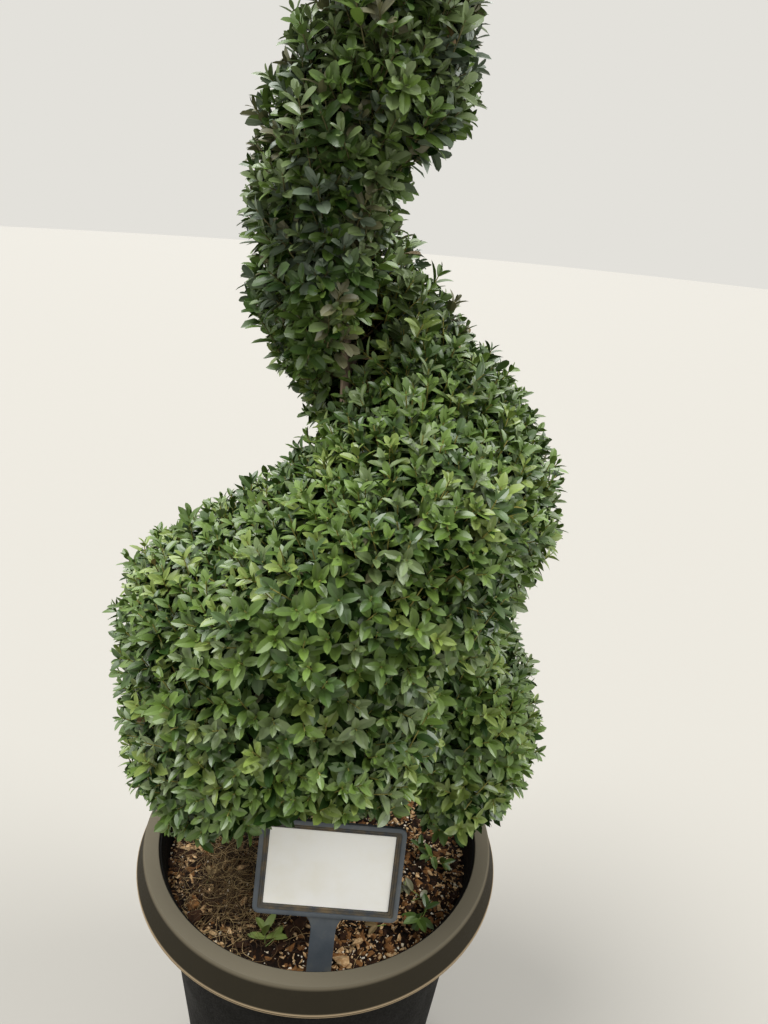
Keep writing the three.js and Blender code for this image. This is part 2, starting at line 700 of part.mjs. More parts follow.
function roundedRectangle(width, height, corner) {
  const shape = new THREE.Shape();
  const x = width / 2;
  const y = height / 2;
  shape.moveTo(-x + corner, -y);
  shape.lineTo(x - corner, -y);
  shape.absarc(x - corner, -y + corner, corner, -Math.PI / 2, 0);
  shape.lineTo(x, y - corner);
  shape.absarc(x - corner, y - corner, corner, 0, Math.PI / 2);
  shape.lineTo(-x + corner, y);
  shape.absarc(-x + corner, y - corner, corner, Math.PI / 2, Math.PI);
  shape.lineTo(-x, -y + corner);
  shape.absarc(-x + corner, -y + corner, corner, Math.PI, Math.PI * 1.5);
  return shape;
}

function plate(shape, thickness) {
  const settings = { depth: thickness, bevelEnabled: false, curveSegments: CORNER_SEGMENTS };
  return new THREE.ExtrudeGeometry(shape, settings);
}

// Local axes of the holder: x along its width, y up its stem, z out of its face
function holderPlacement() {
  const turn = new THREE.Matrix4().makeRotationZ(radians(HOLDER_YAW));
  turn.multiply(new THREE.Matrix4().makeRotationX(radians(90 - HOLDER_LEAN)));
  turn.multiply(new THREE.Matrix4().makeRotationZ(radians(HOLDER_ROLL)));
  const foot = new THREE.Vector3(...HOLDER_FOOT, SOIL_TOP);
  return turn.setPosition(foot);
}

const FRAME_CENTRE = HOLDER_STEM_LENGTH + HOLDER_HEIGHT / 2;

function holderLocalSolid(grown) {
  const outerEdge = roundedRectangle(HOLDER_WIDTH, HOLDER_HEIGHT, HOLDER_CORNER);
  const frame = plate(outerEdge, HOLDER_FRAME_DEPTH);
  frame.translate(0, FRAME_CENTRE, 0);
  const half = HOLDER_STEM_WIDTH / 2 + grown;
  const topHalf = HOLDER_STEM_TOP_WIDTH / 2;
  const rightSide = [
    [half * HOLDER_POINT_SHARE, -HOLDER_STEM_BURIED - grown],
    [half, -HOLDER_STEM_BURIED / 2],
    [half, HOLDER_STEM_LENGTH - HOLDER_STEM_FLARE],
    [topHalf, HOLDER_STEM_LENGTH + HOLDER_STEM_OVERLAP],
  ];
  const leftSide = [...rightSide].reverse().map(([x, y]) => [-x, y]);
  const bladeEdge = [...rightSide, ...leftSide].map(([x, y]) => new THREE.Vector2(x, y));
  const blade = plate(new THREE.Shape(bladeEdge), HOLDER_THICKNESS + grown * 2);
  blade.translate(0, 0, -grown);
  return solidFrom(frame).add(solidFrom(blade));
}

function framePanel(inset, thickness) {
  const outline = roundedRectangle(HOLDER_WIDTH - inset, HOLDER_HEIGHT - inset, CARD_CORNER);
  return plate(outline, thickness);
}

function labelHolderSolid() {
  const recess = framePanel(HOLDER_LIP * 2, HOLDER_FRAME_DEPTH);
  recess.translate(0, FRAME_CENTRE, HOLDER_FRAME_DEPTH - HOLDER_RECESS);
  return holderLocalSolid(0).subtract(solidFrom(recess));
}

function labelCardSolid() {
  const card = framePanel((HOLDER_LIP + GAP) * 2, CARD_THICKNESS);
  card.translate(0, FRAME_CENTRE, HOLDER_FRAME_DEPTH - HOLDER_RECESS + GAP);
  return solidFrom(card);
}

const finish = {
  pot: new THREE.MeshStandardMaterial({ color: 0x35352f, roughness: 0.62, metalness: 0 }),
  soil: new THREE.MeshStandardMaterial({ color: 0x3a2c20, roughness: 1, metalness: 0 }),
  bark: new THREE.MeshStandardMaterial({ color: 0x6f6353, roughness: 0.9, metalness: 0 }),
  leaves: new THREE.MeshStandardMaterial({ color: 0x46683a, roughness: 0.5, metalness: 0 }),
  holder: new THREE.MeshStandardMaterial({ color: 0x3c424a, roughness: 0.5, metalness: 0 }),
  card: new THREE.MeshStandardMaterial({ color: 0xe9e6da, roughness: 0.6, metalness: 0 }),
};

function addPiece(parent, name, solid, material) {
  const mesh = new THREE.Mesh(geometryFrom(solid), material);
  mesh.name = name;
  parent.add(mesh);
}

const plant = new THREE.Group();

const labelHolder = new THREE.Group();
labelHolder.applyMatrix4(holderPlacement());
plant.add(labelHolder);
addPiece(labelHolder, 'label_holder', labelHolderSolid(), finish.holder);
addPiece(labelHolder, 'label_card', labelCardSolid(), finish.card);

const holderSlot = holderLocalSolid(GAP).transform(holderPlacement().elements);
addPiece(plant, 'pot', potSolid(), finish.pot);
addPiece(plant, 'soil', soilSolid(holderSlot), finish.soil);
addPiece(plant, 'trunk', solidFrom(trunkGeometry()), finish.bark);

const FIRST_SEED = 100;
for (let i = 0; i + 1 < MASS_EDGES.length; i += 1) {
  const number = String(i + 1).padStart(2, '0');
  const from = MASS_EDGES[i];
  const to = MASS_EDGES[i + 1];
  addPiece(plant, `bough_${number}`, boughSolid(from, to), finish.bark);
  addPiece(plant, `foliage_${number}`, foliageSolid(from, to, FIRST_SEED + i), finish.leaves);
}

export default plant;
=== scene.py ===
"""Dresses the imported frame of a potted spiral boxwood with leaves, twigs, bark, soil and plastic."""

from __future__ import annotations

import json
import logging
import math
from dataclasses import dataclass, field
from enum import Enum

import bmesh
import bpy
import numpy as np
from mathutils import Matrix, Vector, noise

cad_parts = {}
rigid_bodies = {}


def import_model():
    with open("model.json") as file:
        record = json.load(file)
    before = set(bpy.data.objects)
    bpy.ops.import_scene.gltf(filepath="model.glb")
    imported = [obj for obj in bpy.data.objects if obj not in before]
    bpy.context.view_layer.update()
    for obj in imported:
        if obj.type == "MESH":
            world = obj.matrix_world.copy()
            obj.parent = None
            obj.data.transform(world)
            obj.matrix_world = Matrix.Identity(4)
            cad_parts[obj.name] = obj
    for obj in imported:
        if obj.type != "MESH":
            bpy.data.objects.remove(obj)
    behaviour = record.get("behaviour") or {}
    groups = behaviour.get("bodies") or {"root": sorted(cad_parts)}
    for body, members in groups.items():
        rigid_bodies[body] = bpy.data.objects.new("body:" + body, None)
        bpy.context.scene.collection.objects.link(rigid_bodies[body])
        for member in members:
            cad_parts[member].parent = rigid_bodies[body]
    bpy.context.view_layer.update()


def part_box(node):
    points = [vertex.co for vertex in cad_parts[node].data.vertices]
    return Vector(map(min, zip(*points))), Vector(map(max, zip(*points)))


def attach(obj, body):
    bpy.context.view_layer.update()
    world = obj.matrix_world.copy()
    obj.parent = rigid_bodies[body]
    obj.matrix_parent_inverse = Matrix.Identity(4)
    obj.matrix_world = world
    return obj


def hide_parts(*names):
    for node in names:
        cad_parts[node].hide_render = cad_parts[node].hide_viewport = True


LOG = logging.getLogger("topiary")

Array = np.ndarray
Pair = tuple[float, float]
Triple = tuple[float, float, float]
Row = tuple[float, ...]
Colour = tuple[float, float, float, float]

MM = 0.001
TURN = 360.0
UP = np.array([0.0, 0.0, 1.0])
NO_LENGTH = 1e-9
NO_SQUARE = 1e-12

# First and last numbers, the last left out, of the leaf shapes of each kind.
POINTED = (0, 4)
BLUNT = (4, 8)
PLAIN = (8, 11)

# How fast a shoot drops behind its tip, in one over millimetres, and how soon that ends underneath.
DROOP = 0.004
DROOP_FADE = 1.5

# Heights on the trunk, in millimetres, that branches and stems may start from.
BRANCH_HEIGHTS = np.arange(430.0, 1450.0, 26.0)
STEM_HEIGHTS = np.arange(470.0, 1460.0, 15.0)

SHOOT_SEED = 100
LEAF_SEED = 200
LUMP_SEED = 31
ROOT_SEED = 8
BODY = "root"


def linear(colour: str) -> Colour:
    """Turns an sRGB hex colour into linear light.

    Args:
        colour: a colour such as "#3b3a33".

    Returns:
        Red, green, blue and alpha.
    """
    parts = [int(colour[start : start + 2], 16) / 255 for start in (1, 3, 5)]
    red, green, blue = (c / 12.92 if c <= 0.04045 else ((c + 0.055) / 1.055) ** 2.4 for c in parts)
    return red, green, blue, 1.0


def per_metre(size: float) -> float:
    """Returns a texture scale whose features are about `size` millimetres across."""
    return 1 / (size * MM)


def feed(node: bpy.types.Node, inputs: dict[str | int, object]) -> None:
    """Sets or links a node's inputs.

    Args:
        node: the node.
        inputs: for each socket, by name or number, a value or the output socket that feeds it.
    """
    for key, value in inputs.items():
        if isinstance(value, bpy.types.NodeSocket):
            node.id_data.links.new(value, node.inputs[key])
        else:
            node.inputs[key].default_value = value


def add_node(
    tree: bpy.types.NodeTree,
    kind: str,
    settings: dict[str, object] | None = None,
    inputs: dict[str | int, object] | None = None,
) -> bpy.types.Node:
    """Adds a node with its settings and links.

    Args:
        tree: the shader or geometry tree.
        kind: Blender's name for the kind of node.
        settings: the node's own options.
        inputs: for each socket, by name or number, a value or the output socket that feeds it.

    Returns:
        The new node.
    """
    node = tree.nodes.new(kind)
    for name, value in (settings or {}).items():
        setattr(node, name, value)
    feed(node, inputs or {})
    return node


def new_material(name: str, inputs: dict[str | int, object]) -> bpy.types.Material:
    """Makes a material.

    Args:
        name: the real stuff that it shows.
        inputs: constants of its Principled shader.

    Returns:
        The material.
    """
    material = bpy.data.materials.new(name)
    material.use_nodes = True
    feed(material.node_tree.nodes["Principled BSDF"], inputs)
    return material


def fill_ramp(ramp: bpy.types.ColorRamp, tones: tuple[tuple[float, str], ...]) -> None:
    """Gives a colour ramp its tones, the first two of which are its ends."""
    for number, (spot, tone) in enumerate(tones):
        stop = ramp.elements[number] if number < 2 else ramp.elements.new(spot)
        stop.position = spot
        stop.color = linear(tone)


def ease(share: Array | float) -> Array:
    """Returns a smooth step from 0 to 1."""
    share = np.clip(share, 0, 1)
    return share * share * (3 - 2 * share)


def lerp(start: Array | float, end: Array | float, share: Array | float) -> Array:
    """Returns the value part of the way from `start` to `end`."""
    return start + (end - start) * share


def unit(vectors: Array) -> Array:
    """Returns the vectors scaled to length one."""
    return vectors / np.maximum(np.linalg.norm(vectors, axis=-1, keepdims=True), NO_LENGTH)


def wrapped(phase: Array) -> Array:
    """Returns the same angle within half a turn of 0."""
    return phase - TURN * np.round(phase / TURN)


@dataclass(frozen=True)
class Swell:
    """A smooth bump along the spiral, which has fallen to a third of its height one width from its middle."""

    height: float
    middle: float
    width: float

    def at(self, phase: Array) -> Array:
        """Returns the bump at a phase."""
        return self.height * np.exp(-(((phase - self.middle) / self.width) ** 2))


@dataclass(frozen=True)
class Change:
    """A value that goes smoothly from one to another over a length, downwards where that is negative."""

    first: float
    last: float
    start: float
    length: float

    def at(self, place: Array) -> Array:
        """Returns the value at a phase, height or distance."""
        return lerp(self.first, self.last, ease((place - self.start) / self.length))


def bent(start: Array, bend: Array, end: Array, steps: int) -> Array:
    """Draws smooth lines that leave one point towards another and end at a third.

    Args:
        start: first points, of shape (lines, 3).
        bend: the points that pull the lines.
        end: last points.
        steps: number of stretches in each line.

    Returns:
        Points of shape (lines, steps + 1, 3).
    """
    share = np.linspace(0, 1, steps + 1)[None, :, None]
    start, bend, end = start[:, None], bend[:, None], end[:, None]
    return (1 - share) ** 2 * start + 2 * share * (1 - share) * bend + share**2 * end


def thin(points: Array, spacing: float) -> Array:
    """Keeps points that stand at least `spacing` apart.

    Args:
        points: candidates of shape (count, 3), the first ones preferred.
        spacing: least distance between two that are kept.

    Returns:
        The numbers of the kept points.
    """
    cells: dict[tuple[int, int, int], list[Triple]] = {}
    around = [(a, b, c) for a in (-1, 0, 1) for b in (-1, 0, 1) for c in (-1, 0, 1)]
    least = spacing * spacing
    kept = []
    for number, (x, y, z) in enumerate(points.tolist()):
        i, j, k = math.floor(x / spacing), math.floor(y / spacing), math.floor(z / spacing)
        crowded = any(
            (x - u) ** 2 + (y - v) ** 2 + (z - w) ** 2 < least
            for a, b, c in around
            for u, v, w in cells.get((i + a, j + b, k + c), ())
        )
        if not crowded:
            cells.setdefault((i, j, k), []).append((x, y, z))
            kept.append(number)
    return np.array(kept, dtype=int)


def nearest(targets: Array, choices: Array, climb: float) -> Array:
    """Finds for each target the point that it grows from.

    Args:
        targets: points of shape (count, 3).
        choices: points that may carry them.
        climb: extra cost for each millimetre that a choice lies above its target.

    Returns:
        The number of the best choice for each target.
    """
    apart = targets[:, None] - choices[None]
    cost = np.linalg.norm(apart, axis=2) + climb * np.maximum(0, -apart[:, :, 2])
    return cost.argmin(axis=1)


def turned(ahead: Array, upper: Array) -> Array:
    """Turns frames into quaternions.

    Args:
        ahead: unit vectors for the local x axis, of shape (count, 3).
        upper: unit vectors at right angles to them, for the local z axis.

    Returns:
        Quaternions of shape (count, 4), the real part first.
    """
    side = np.cross(upper, ahead)
    xx, yy, zz = ahead[:, 0], side[:, 1], upper[:, 2]
    squares = np.stack([1 + xx + yy + zz, 1 + xx - yy - zz, 1 - xx + yy - zz, 1 - xx - yy + zz], axis=1)
    parts = np.sqrt(np.maximum(squares, NO_SQUARE)) / 2
    parts[:, 1] = np.copysign(parts[:, 1], side[:, 2] - upper[:, 1])
    parts[:, 2] = np.copysign(parts[:, 2], upper[:, 0] - ahead[:, 2])
    parts[:, 3] = np.copysign(parts[:, 3], ahead[:, 1] - side[:, 0])
    return unit(parts)


def mesh_of(name: str, points: Array, faces: list, smooth: bool = True) -> bpy.types.Mesh:
    """Makes a mesh from points in millimetres.

    Args:
        name: the mesh's name.
        points: corners of shape (count, 3).
        faces: corner numbers of each face.
        smooth: whether its faces are shaded smooth.

    Returns:
        The mesh, in metres.
    """
    mesh = bpy.data.meshes.new(name)
    mesh.from_pydata((np.asarray(points) * MM).tolist(), [], faces)
    mesh.shade_smooth() if smooth else mesh.shade_flat()
    return mesh


def shown(name: str, mesh: bpy.types.Mesh) -> bpy.types.Object:
    """Puts a mesh into the scene at the origin, and returns its object."""
    mesh.name = name
    piece = bpy.data.objects.new(name, mesh)
    bpy.context.scene.collection.objects.link(piece)
    return piece
def evaluated(holder: bpy.types.Object) -> bpy.types.Mesh:
    """Returns what an object's modifiers make of it as a plain mesh, and removes the object."""
    depsgraph = bpy.context.evaluated_depsgraph_get()
    depsgraph.update()
    result = bpy.data.meshes.new_from_object(holder.evaluated_get(depsgraph), depsgraph=depsgraph)
    source = holder.data
    holder.modifiers.clear()
    bpy.data.objects.remove(holder)
    bpy.data.meshes.remove(source)
    return result


def mesh_from(name: str, shape: bmesh.types.BMesh) -> bpy.types.Mesh:
    """Turns a bmesh into a mesh, and frees it."""
    mesh = bpy.data.meshes.new(name)
    shape.to_mesh(mesh)
    shape.free()
    return mesh


def add_hull(shape: bmesh.types.BMesh, corners: list) -> None:
    """Adds the convex hull of some corners to a bmesh."""
    hull = bmesh.ops.convex_hull(shape, input=[shape.verts.new(corner) for corner in corners])
    bmesh.ops.delete(shape, geom=hull["geom_interior"], context="VERTS")
    bmesh.ops.recalc_face_normals(shape, faces=shape.faces)


def between(lower: int, upper: int, sides: int) -> list[tuple[int, ...]]:
    """Skins the space between two closed rings of points.

    Args:
        lower: number of the lower ring's first point.
        upper: number of the upper ring's first point.
        sides: points in each ring.

    Returns:
        The corners of each face, which faces outwards.
    """
    steps = [(side, (side + 1) % sides) for side in range(sides)]
    return [(lower + a, lower + b, upper + b, upper + a) for a, b in steps]


def capped(rings: list[Array]) -> tuple[Array, list]:
    """Skins rings of equal count from the first to the last, and closes both ends."""
    sides = len(rings[0])
    starts = range(0, len(rings) * sides, sides)
    faces = [tuple(range(sides))[::-1]]
    for lower, upper in zip(starts, starts[1:]):
        faces += between(lower, upper, sides)
    faces.append(tuple(range(starts[-1], starts[-1] + sides)))
    return np.concatenate(rings), faces


def merged(parts: list[tuple[Array, list]]) -> tuple[Array, list]:
    """Puts the points and faces of several shapes together."""
    faces = []
    first = 0
    for points, skin in parts:
        faces += [tuple(first + corner for corner in face) for face in skin]
        first += len(points)
    return np.concatenate([points for points, _ in parts]), faces
def joined(name: str, meshes: list[bpy.types.Mesh]) -> bpy.types.Mesh:
    """Joins meshes of one material each into one mesh.

    Args:
        name: the new mesh's name.
        meshes: the meshes, which are removed.

    Returns:
        The joined mesh, with one material slot for each part.
    """
    whole = bmesh.new()
    looks = []
    for mesh in meshes:
        first = len(whole.faces)
        whole.from_mesh(mesh)
        look = mesh.materials[0] if mesh.materials else None
        if look not in looks:
            looks.append(look)
        whole.faces.ensure_lookup_table()
        for face in whole.faces[first:]:
            face.material_index = looks.index(look)
    result = mesh_from(name, whole)
    for look in looks:
        result.materials.append(look)
    for mesh in meshes:
        bpy.data.meshes.remove(mesh)
    return result


def add_piece(name: str, mesh: bpy.types.Mesh, slot: str, *nodes: str) -> bpy.types.Object:
    """Shows a finished mesh as a piece of the object.

    Args:
        name: the piece's name.
        mesh: its mesh, with its place in it.
        slot: the record's material slot.
        nodes: the CAD nodes that it stands for.

    Returns:
        The piece.
    """
    piece = shown(name, mesh)
    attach(piece, BODY)
    if nodes:
        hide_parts(*nodes)
    LOG.info("%s: %d faces", name, len(mesh.polygons))
    return piece


class GrowTree:
    """A geometry node tree with named inputs, which turns one object into a plain mesh."""

    def __init__(self, name: str, inputs: dict[str, str], columns: dict[str, str]) -> None:
        """Starts the tree.

        Args:
            name: what the tree makes.
            inputs: for each named input, the kind of its socket.
            columns: for each attribute that the tree reads and then drops, its data type.
        """
        self.tree = bpy.data.node_groups.new(name, "GeometryNodeTree")
        panel = self.tree.interface
        panel.new_socket("Geometry", in_out="INPUT", socket_type="NodeSocketGeometry")
        panel.new_socket("Geometry", in_out="OUTPUT", socket_type="NodeSocketGeometry")
        for label, kind in inputs.items():
            panel.new_socket(label, in_out="INPUT", socket_type=kind)
        self.start = self.tree.nodes.new("NodeGroupInput").outputs
        self.columns = {}
        for label, kind in columns.items():
            reader = self.add("GeometryNodeInputNamedAttribute", {"data_type": kind}, {"Name": label})
            self.columns[label] = reader.outputs["Attribute"]

    def add(self, kind: str, settings: dict | None = None, inputs: dict | None = None) -> bpy.types.Node:
        """Adds a node to the tree, as add_node does."""
        return add_node(self.tree, kind, settings, inputs)

    def then(self, shape: bpy.types.NodeSocket, kind: str, **inputs: object) -> bpy.types.NodeSocket:
        """Sends a geometry through a new node, and returns the socket it comes out of."""
        return self.add(kind, inputs={"Geometry": shape, **inputs}).outputs[0]

    def end(self, shape: bpy.types.NodeSocket) -> None:
        """Ends the tree with the geometry of one socket, without the attributes that it has read."""
        for name in self.columns:
            shape = self.then(shape, "GeometryNodeRemoveAttribute", Name=name)
        self.add("NodeGroupOutput", inputs={"Geometry": shape})

    def grow(self, source: bpy.types.Mesh, values: dict[str, object]) -> bpy.types.Mesh:
        """Runs the tree.

        Args:
            source: the mesh it starts from, which is removed.
            values: a value for each named input.

        Returns:
            The result as a plain mesh.
        """
        holder = shown("growing", source)
        modifier = holder.modifiers.new("grow", "NODES")
        modifier.node_group = self.tree
        for item in self.tree.interface.items_tree:
            if item.in_out == "INPUT" and item.name in values:
                modifier[item.identifier] = values[item.name]
        return evaluated(holder)


class TubeTree(GrowTree):
    """Runs a tapering tube along every line of a mesh."""

    def __init__(self) -> None:
        """Builds the tree."""
        inputs = {"Sides": "NodeSocketInt", "Material": "NodeSocketMaterial"}
        super().__init__("Tubes", inputs, {"thickness": "FLOAT"})
        lines = self.add("GeometryNodeMeshToCurve", inputs={"Mesh": self.start["Geometry"]})
        ring = self.add(
            "GeometryNodeCurvePrimitiveCircle", inputs={"Resolution": self.start["Sides"], "Radius": 1.0}
        )
        tubes = self.add(
            "GeometryNodeCurveToMesh",
            inputs={
                "Curve": lines.outputs[0],
                "Profile Curve": ring.outputs["Curve"],
                "Scale": self.columns["thickness"],
                "Fill Caps": True,
            },
        )
        real = self.then(tubes.outputs[0], "GeometryNodeRealizeInstances")
        smooth = self.then(real, "GeometryNodeSetShadeSmooth")
        self.end(self.then(smooth, "GeometryNodeSetMaterial", Material=self.start["Material"]))

    def run(self, lines: Array, radii: Array, sides: int, material: bpy.types.Material) -> bpy.types.Mesh:
        """Makes tubes.

        Args:
            lines: points in millimetres, of shape (lines, points, 3).
            radii: radius at each point, of shape (lines, points).
            sides: sides of each tube.
            material: the tubes' finish.

        Returns:
            One mesh with all tubes.
        """
        count, length = lines.shape[:2]
        starts = np.arange(count)[:, None] * length + np.arange(length - 1)[None]
        edges = np.stack([starts, starts + 1], axis=2).reshape(-1, 2)
        source = bpy.data.meshes.new("lines")
        source.from_pydata((lines.reshape(-1, 3) * MM).tolist(), edges.tolist(), [])
        thickness = source.attributes.new("thickness", "FLOAT", "POINT")
        thickness.data.foreach_set("value", (radii.reshape(-1) * MM).astype(np.float32))
        return self.grow(source, {"Sides": sides, "Material": material})


class ScatterTree(GrowTree):
    """Strews small shapes over a surface, more where its attribute `loose` is high."""

    def __init__(self) -> None:
        """Builds the tree."""
        inputs = {
            "Shapes": "NodeSocketCollection",
            "Density": "NodeSocketFloat",
            "Smallest": "NodeSocketFloat",
            "Largest": "NodeSocketFloat",
            "Tilt": "NodeSocketFloat",
            "Seed": "NodeSocketInt",
            "Material": "NodeSocketMaterial",
        }
        super().__init__("Strewn", inputs, {"loose": "FLOAT"})
        start, multiply = self.start, {"operation": "MULTIPLY"}
        density = self.add("ShaderNodeMath", multiply, {0: start["Density"], 1: self.columns["loose"]})
        points = self.add(
            "GeometryNodeDistributePointsOnFaces",
            inputs={"Mesh": start["Geometry"], "Density": density.outputs[0], "Seed": start["Seed"]},
        )
        shapes = self.add(
            "GeometryNodeCollectionInfo",
            inputs={"Collection": start["Shapes"], "Separate Children": True, "Reset Children": True},
        )
        size = self.add(
            "FunctionNodeRandomValue",
            inputs={2: start["Smallest"], 3: start["Largest"], "Seed": start["Seed"]},
        )
        back = self.add("ShaderNodeMath", multiply, {0: start["Tilt"], 1: -1.0}).outputs[0]
        least = self.add("ShaderNodeCombineXYZ", inputs={0: back, 1: back, 2: 0.0})
        most = self.add("ShaderNodeCombineXYZ", inputs={0: start["Tilt"], 1: start["Tilt"], 2: math.tau})
        turn = self.add(
            "FunctionNodeRandomValue",
            {"data_type": "FLOAT_VECTOR"},
            {0: least.outputs[0], 1: most.outputs[0], "Seed": start["Seed"]},
        )
        strewn = self.add(
            "GeometryNodeInstanceOnPoints",
            inputs={
                "Points": points.outputs["Points"],
                "Instance": shapes.outputs[0],
                "Pick Instance": True,
                "Rotation": turn.outputs[0],
                "Scale": size.outputs[1],
            },
        )
        real = self.then(strewn.outputs[0], "GeometryNodeRealizeInstances")
        self.end(self.then(real, "GeometryNodeSetMaterial", Material=start["Material"]))


@dataclass(frozen=True)
class LeafFinish:
    """A box leaf: a leathery blade with a waxy cuticle, so its colour has a soft, pale sheen."""

    name: str
    colour: str
    roughness: float = 0.42
    wax: float = 0.2
    shine: float = 0.5
    wax_roughness: float = 0.35

    def material(self) -> bpy.types.Material:
        """Returns the leaf's material, whose constants are set on the shader itself."""
        constants = {
            "Base Color": linear(self.colour),
            "Roughness": self.roughness,
            "Specular IOR Level": self.shine,
            "Coat Weight": self.wax,
            "Coat Roughness": self.wax_roughness,
        }
        return new_material(self.name, constants)


class Tint(Enum):
    """The leaf colours, which are dealt out by shoot."""

    FRESH = LeafFinish("fresh box leaf", "#647d34")
    MID = LeafFinish("box leaf", "#536b2b")
    DEEP = LeafFinish("shaded box leaf", "#405825")
    # Grey-green that stands in for the sky's sheen on the leaves: painted sheen.
    DUSTY = LeafFinish("dusty box leaf", "#677848")
    YOUNG = LeafFinish("young box leaf", "#7a8c42")
    GREY = LeafFinish("grey-green box leaf", "#64725c")
    BRONZE = LeafFinish("winter-bronzed box leaf", "#69684a")
    # Dark green for old and deep leaves inside the crown: painted shade, with little gloss so the shade stays
    # green.
    INNER = LeafFinish("inner box leaf", "#233c0f", 0.6, 0.0, 0.15)
    DEAD = LeafFinish("dead box leaf", "#7c6740", 0.7, 0.0)
    YELLOW = LeafFinish("yellowed box leaf", "#98903f", 0.55, 0.0)


TINTS = list(Tint)
TINT_NUMBER = {tint: number for number, tint in enumerate(TINTS)}
LOW_TINTS = {
    Tint.FRESH: 0.28,
    Tint.MID: 0.32,
    Tint.DEEP: 0.17,
    Tint.DUSTY: 0.12,
    Tint.YOUNG: 0.11,
    Tint.GREY: 0.0,
    Tint.BRONZE: 0.0,
}
# The upper turns take a larger share of the painted-sheen grey-green tint.
HIGH_TINTS = {
    Tint.FRESH: 0.06,
    Tint.MID: 0.16,
    Tint.DEEP: 0.06,
    Tint.DUSTY: 0.36,
    Tint.YOUNG: 0.0,
    Tint.GREY: 0.28,
    Tint.BRONZE: 0.08,
}


@dataclass(frozen=True)
class TwigFinish:
    """A box twig: green or tan skin with no gloss, too thin for its ribs to show."""

    name: str
    colour: str
    roughness: float = 0.75

    def material(self) -> bpy.types.Material:
        """Returns the twig's material."""
        return new_material(self.name, {"Base Color": linear(self.colour), "Roughness": self.roughness})


@dataclass(frozen=True)
class PatternFinish:
    """A matte natural or plastic surface whose colour wanders between a few tones."""

    name: str
    tones: tuple[tuple[float, str], ...]
    grain: float
    stretch: Triple = (1.0, 1.0, 1.0)
    relief: float = 0.3
    relief_grain: float = 1.0
    roughness: Pair = (0.8, 0.95)
    detail: float = 6.0
    shine: float = 0.5
    roll_off: float = 0.62
    relief_detail: float = 4.0
    relief_strength: float = 0.8

    def material(self) -> bpy.types.Material:
        """Returns a material whose noise has features of `grain` millimetres."""
        material = new_material(self.name, {"Specular IOR Level": self.shine})
        tree = material.node_tree
        place = add_node(tree, "ShaderNodeTexCoord").outputs["Object"]
        along = add_node(tree, "ShaderNodeMapping", inputs={"Vector": place, "Scale": self.stretch})
        cloud = add_node(
            tree,
            "ShaderNodeTexNoise",
            inputs={
                "Vector": along.outputs[0],
                "Scale": per_metre(self.grain),
                "Detail": self.detail,
                "Roughness": self.roll_off,
            },
        )
        ramp = add_node(tree, "ShaderNodeValToRGB", inputs={0: cloud.outputs["Fac"]})
        fill_ramp(ramp.color_ramp, self.tones)
        fine = add_node(
            tree,
            "ShaderNodeTexNoise",
            inputs={
                "Vector": along.outputs[0],
                "Scale": per_metre(self.relief_grain),
                "Detail": self.relief_detail,
            },
        ).outputs["Fac"]
        least, most = self.roughness
        rough = add_node(
            tree, "ShaderNodeMapRange", inputs={"Value": fine, "To Min": least, "To Max": most}
        )
        bump = add_node(
            tree,
            "ShaderNodeBump",
            inputs={"Height": fine, "Distance": self.relief * MM, "Strength": self.relief_strength},
        )
        feed(
            tree.nodes["Principled BSDF"],
            {"Base Color": ramp.outputs[0], "Roughness": rough.outputs[0], "Normal": bump.outputs[0]},
        )
        return material


# Box bark is corky and pale grey-tan, with darker furrows that run up the trunk.
BARK = PatternFinish(
    "box bark",
    ((0.3, "#4b3f34"), (0.72, "#b8a18a"), (0.5, "#887664")),
    grain=5.0,
    stretch=(1.0, 1.0, 0.22),
    relief=0.9,
    relief_grain=2.2,
)
# Potting mix is moist composted bark, near black with brown crumbs.
POTTING_MIX = PatternFinish(
    "composted bark potting mix",
    ((0.32, "#0d0704"), (0.7, "#38210f"), (0.52, "#1a0e06")),
    grain=7.0,
    relief=2.5,
    relief_grain=3.0,
    shine=0.15,
)
# Pine bark chips are tan to orange-brown outside and dark where they are wet.
WET_BARK = PatternFinish(
    "wet pine bark", ((0.35, "#1f1109"), (0.65, "#3d2614")), 5.0, relief_grain=1.2, shine=0.2
)
BROWN_BARK = PatternFinish(
    "brown pine bark", ((0.35, "#54351d"), (0.65, "#8e6439")), 5.0, relief_grain=1.2, shine=0.2
)
TAN_BARK = PatternFinish(
    "dry pine bark", ((0.35, "#9b7246"), (0.65, "#d9bb8e")), 5.0, relief_grain=1.2, shine=0.2
)
# Perlite is puffed volcanic glass, chalky and off-white; pale wood crumbs lie among it.
PERLITE = PatternFinish("perlite and pale wood", ((0.35, "#c9b48f"), (0.6, "#f0e8d6")), 6.0, relief_grain=0.8)
OLD_ROOT = TwigFinish("old root", "#3a2916")
DRY_ROOT = TwigFinish("dry root", "#624a28")
PALE_ROOT = TwigFinish("pale dry root", "#b89d6c")
GREEN_TWIG = TwigFinish("young box twig", "#938c46")
OLIVE_TWIG = TwigFinish("ripened box twig", "#5f5a34")
BROWN_TWIG = TwigFinish("brown box twig", "#6d5a40")


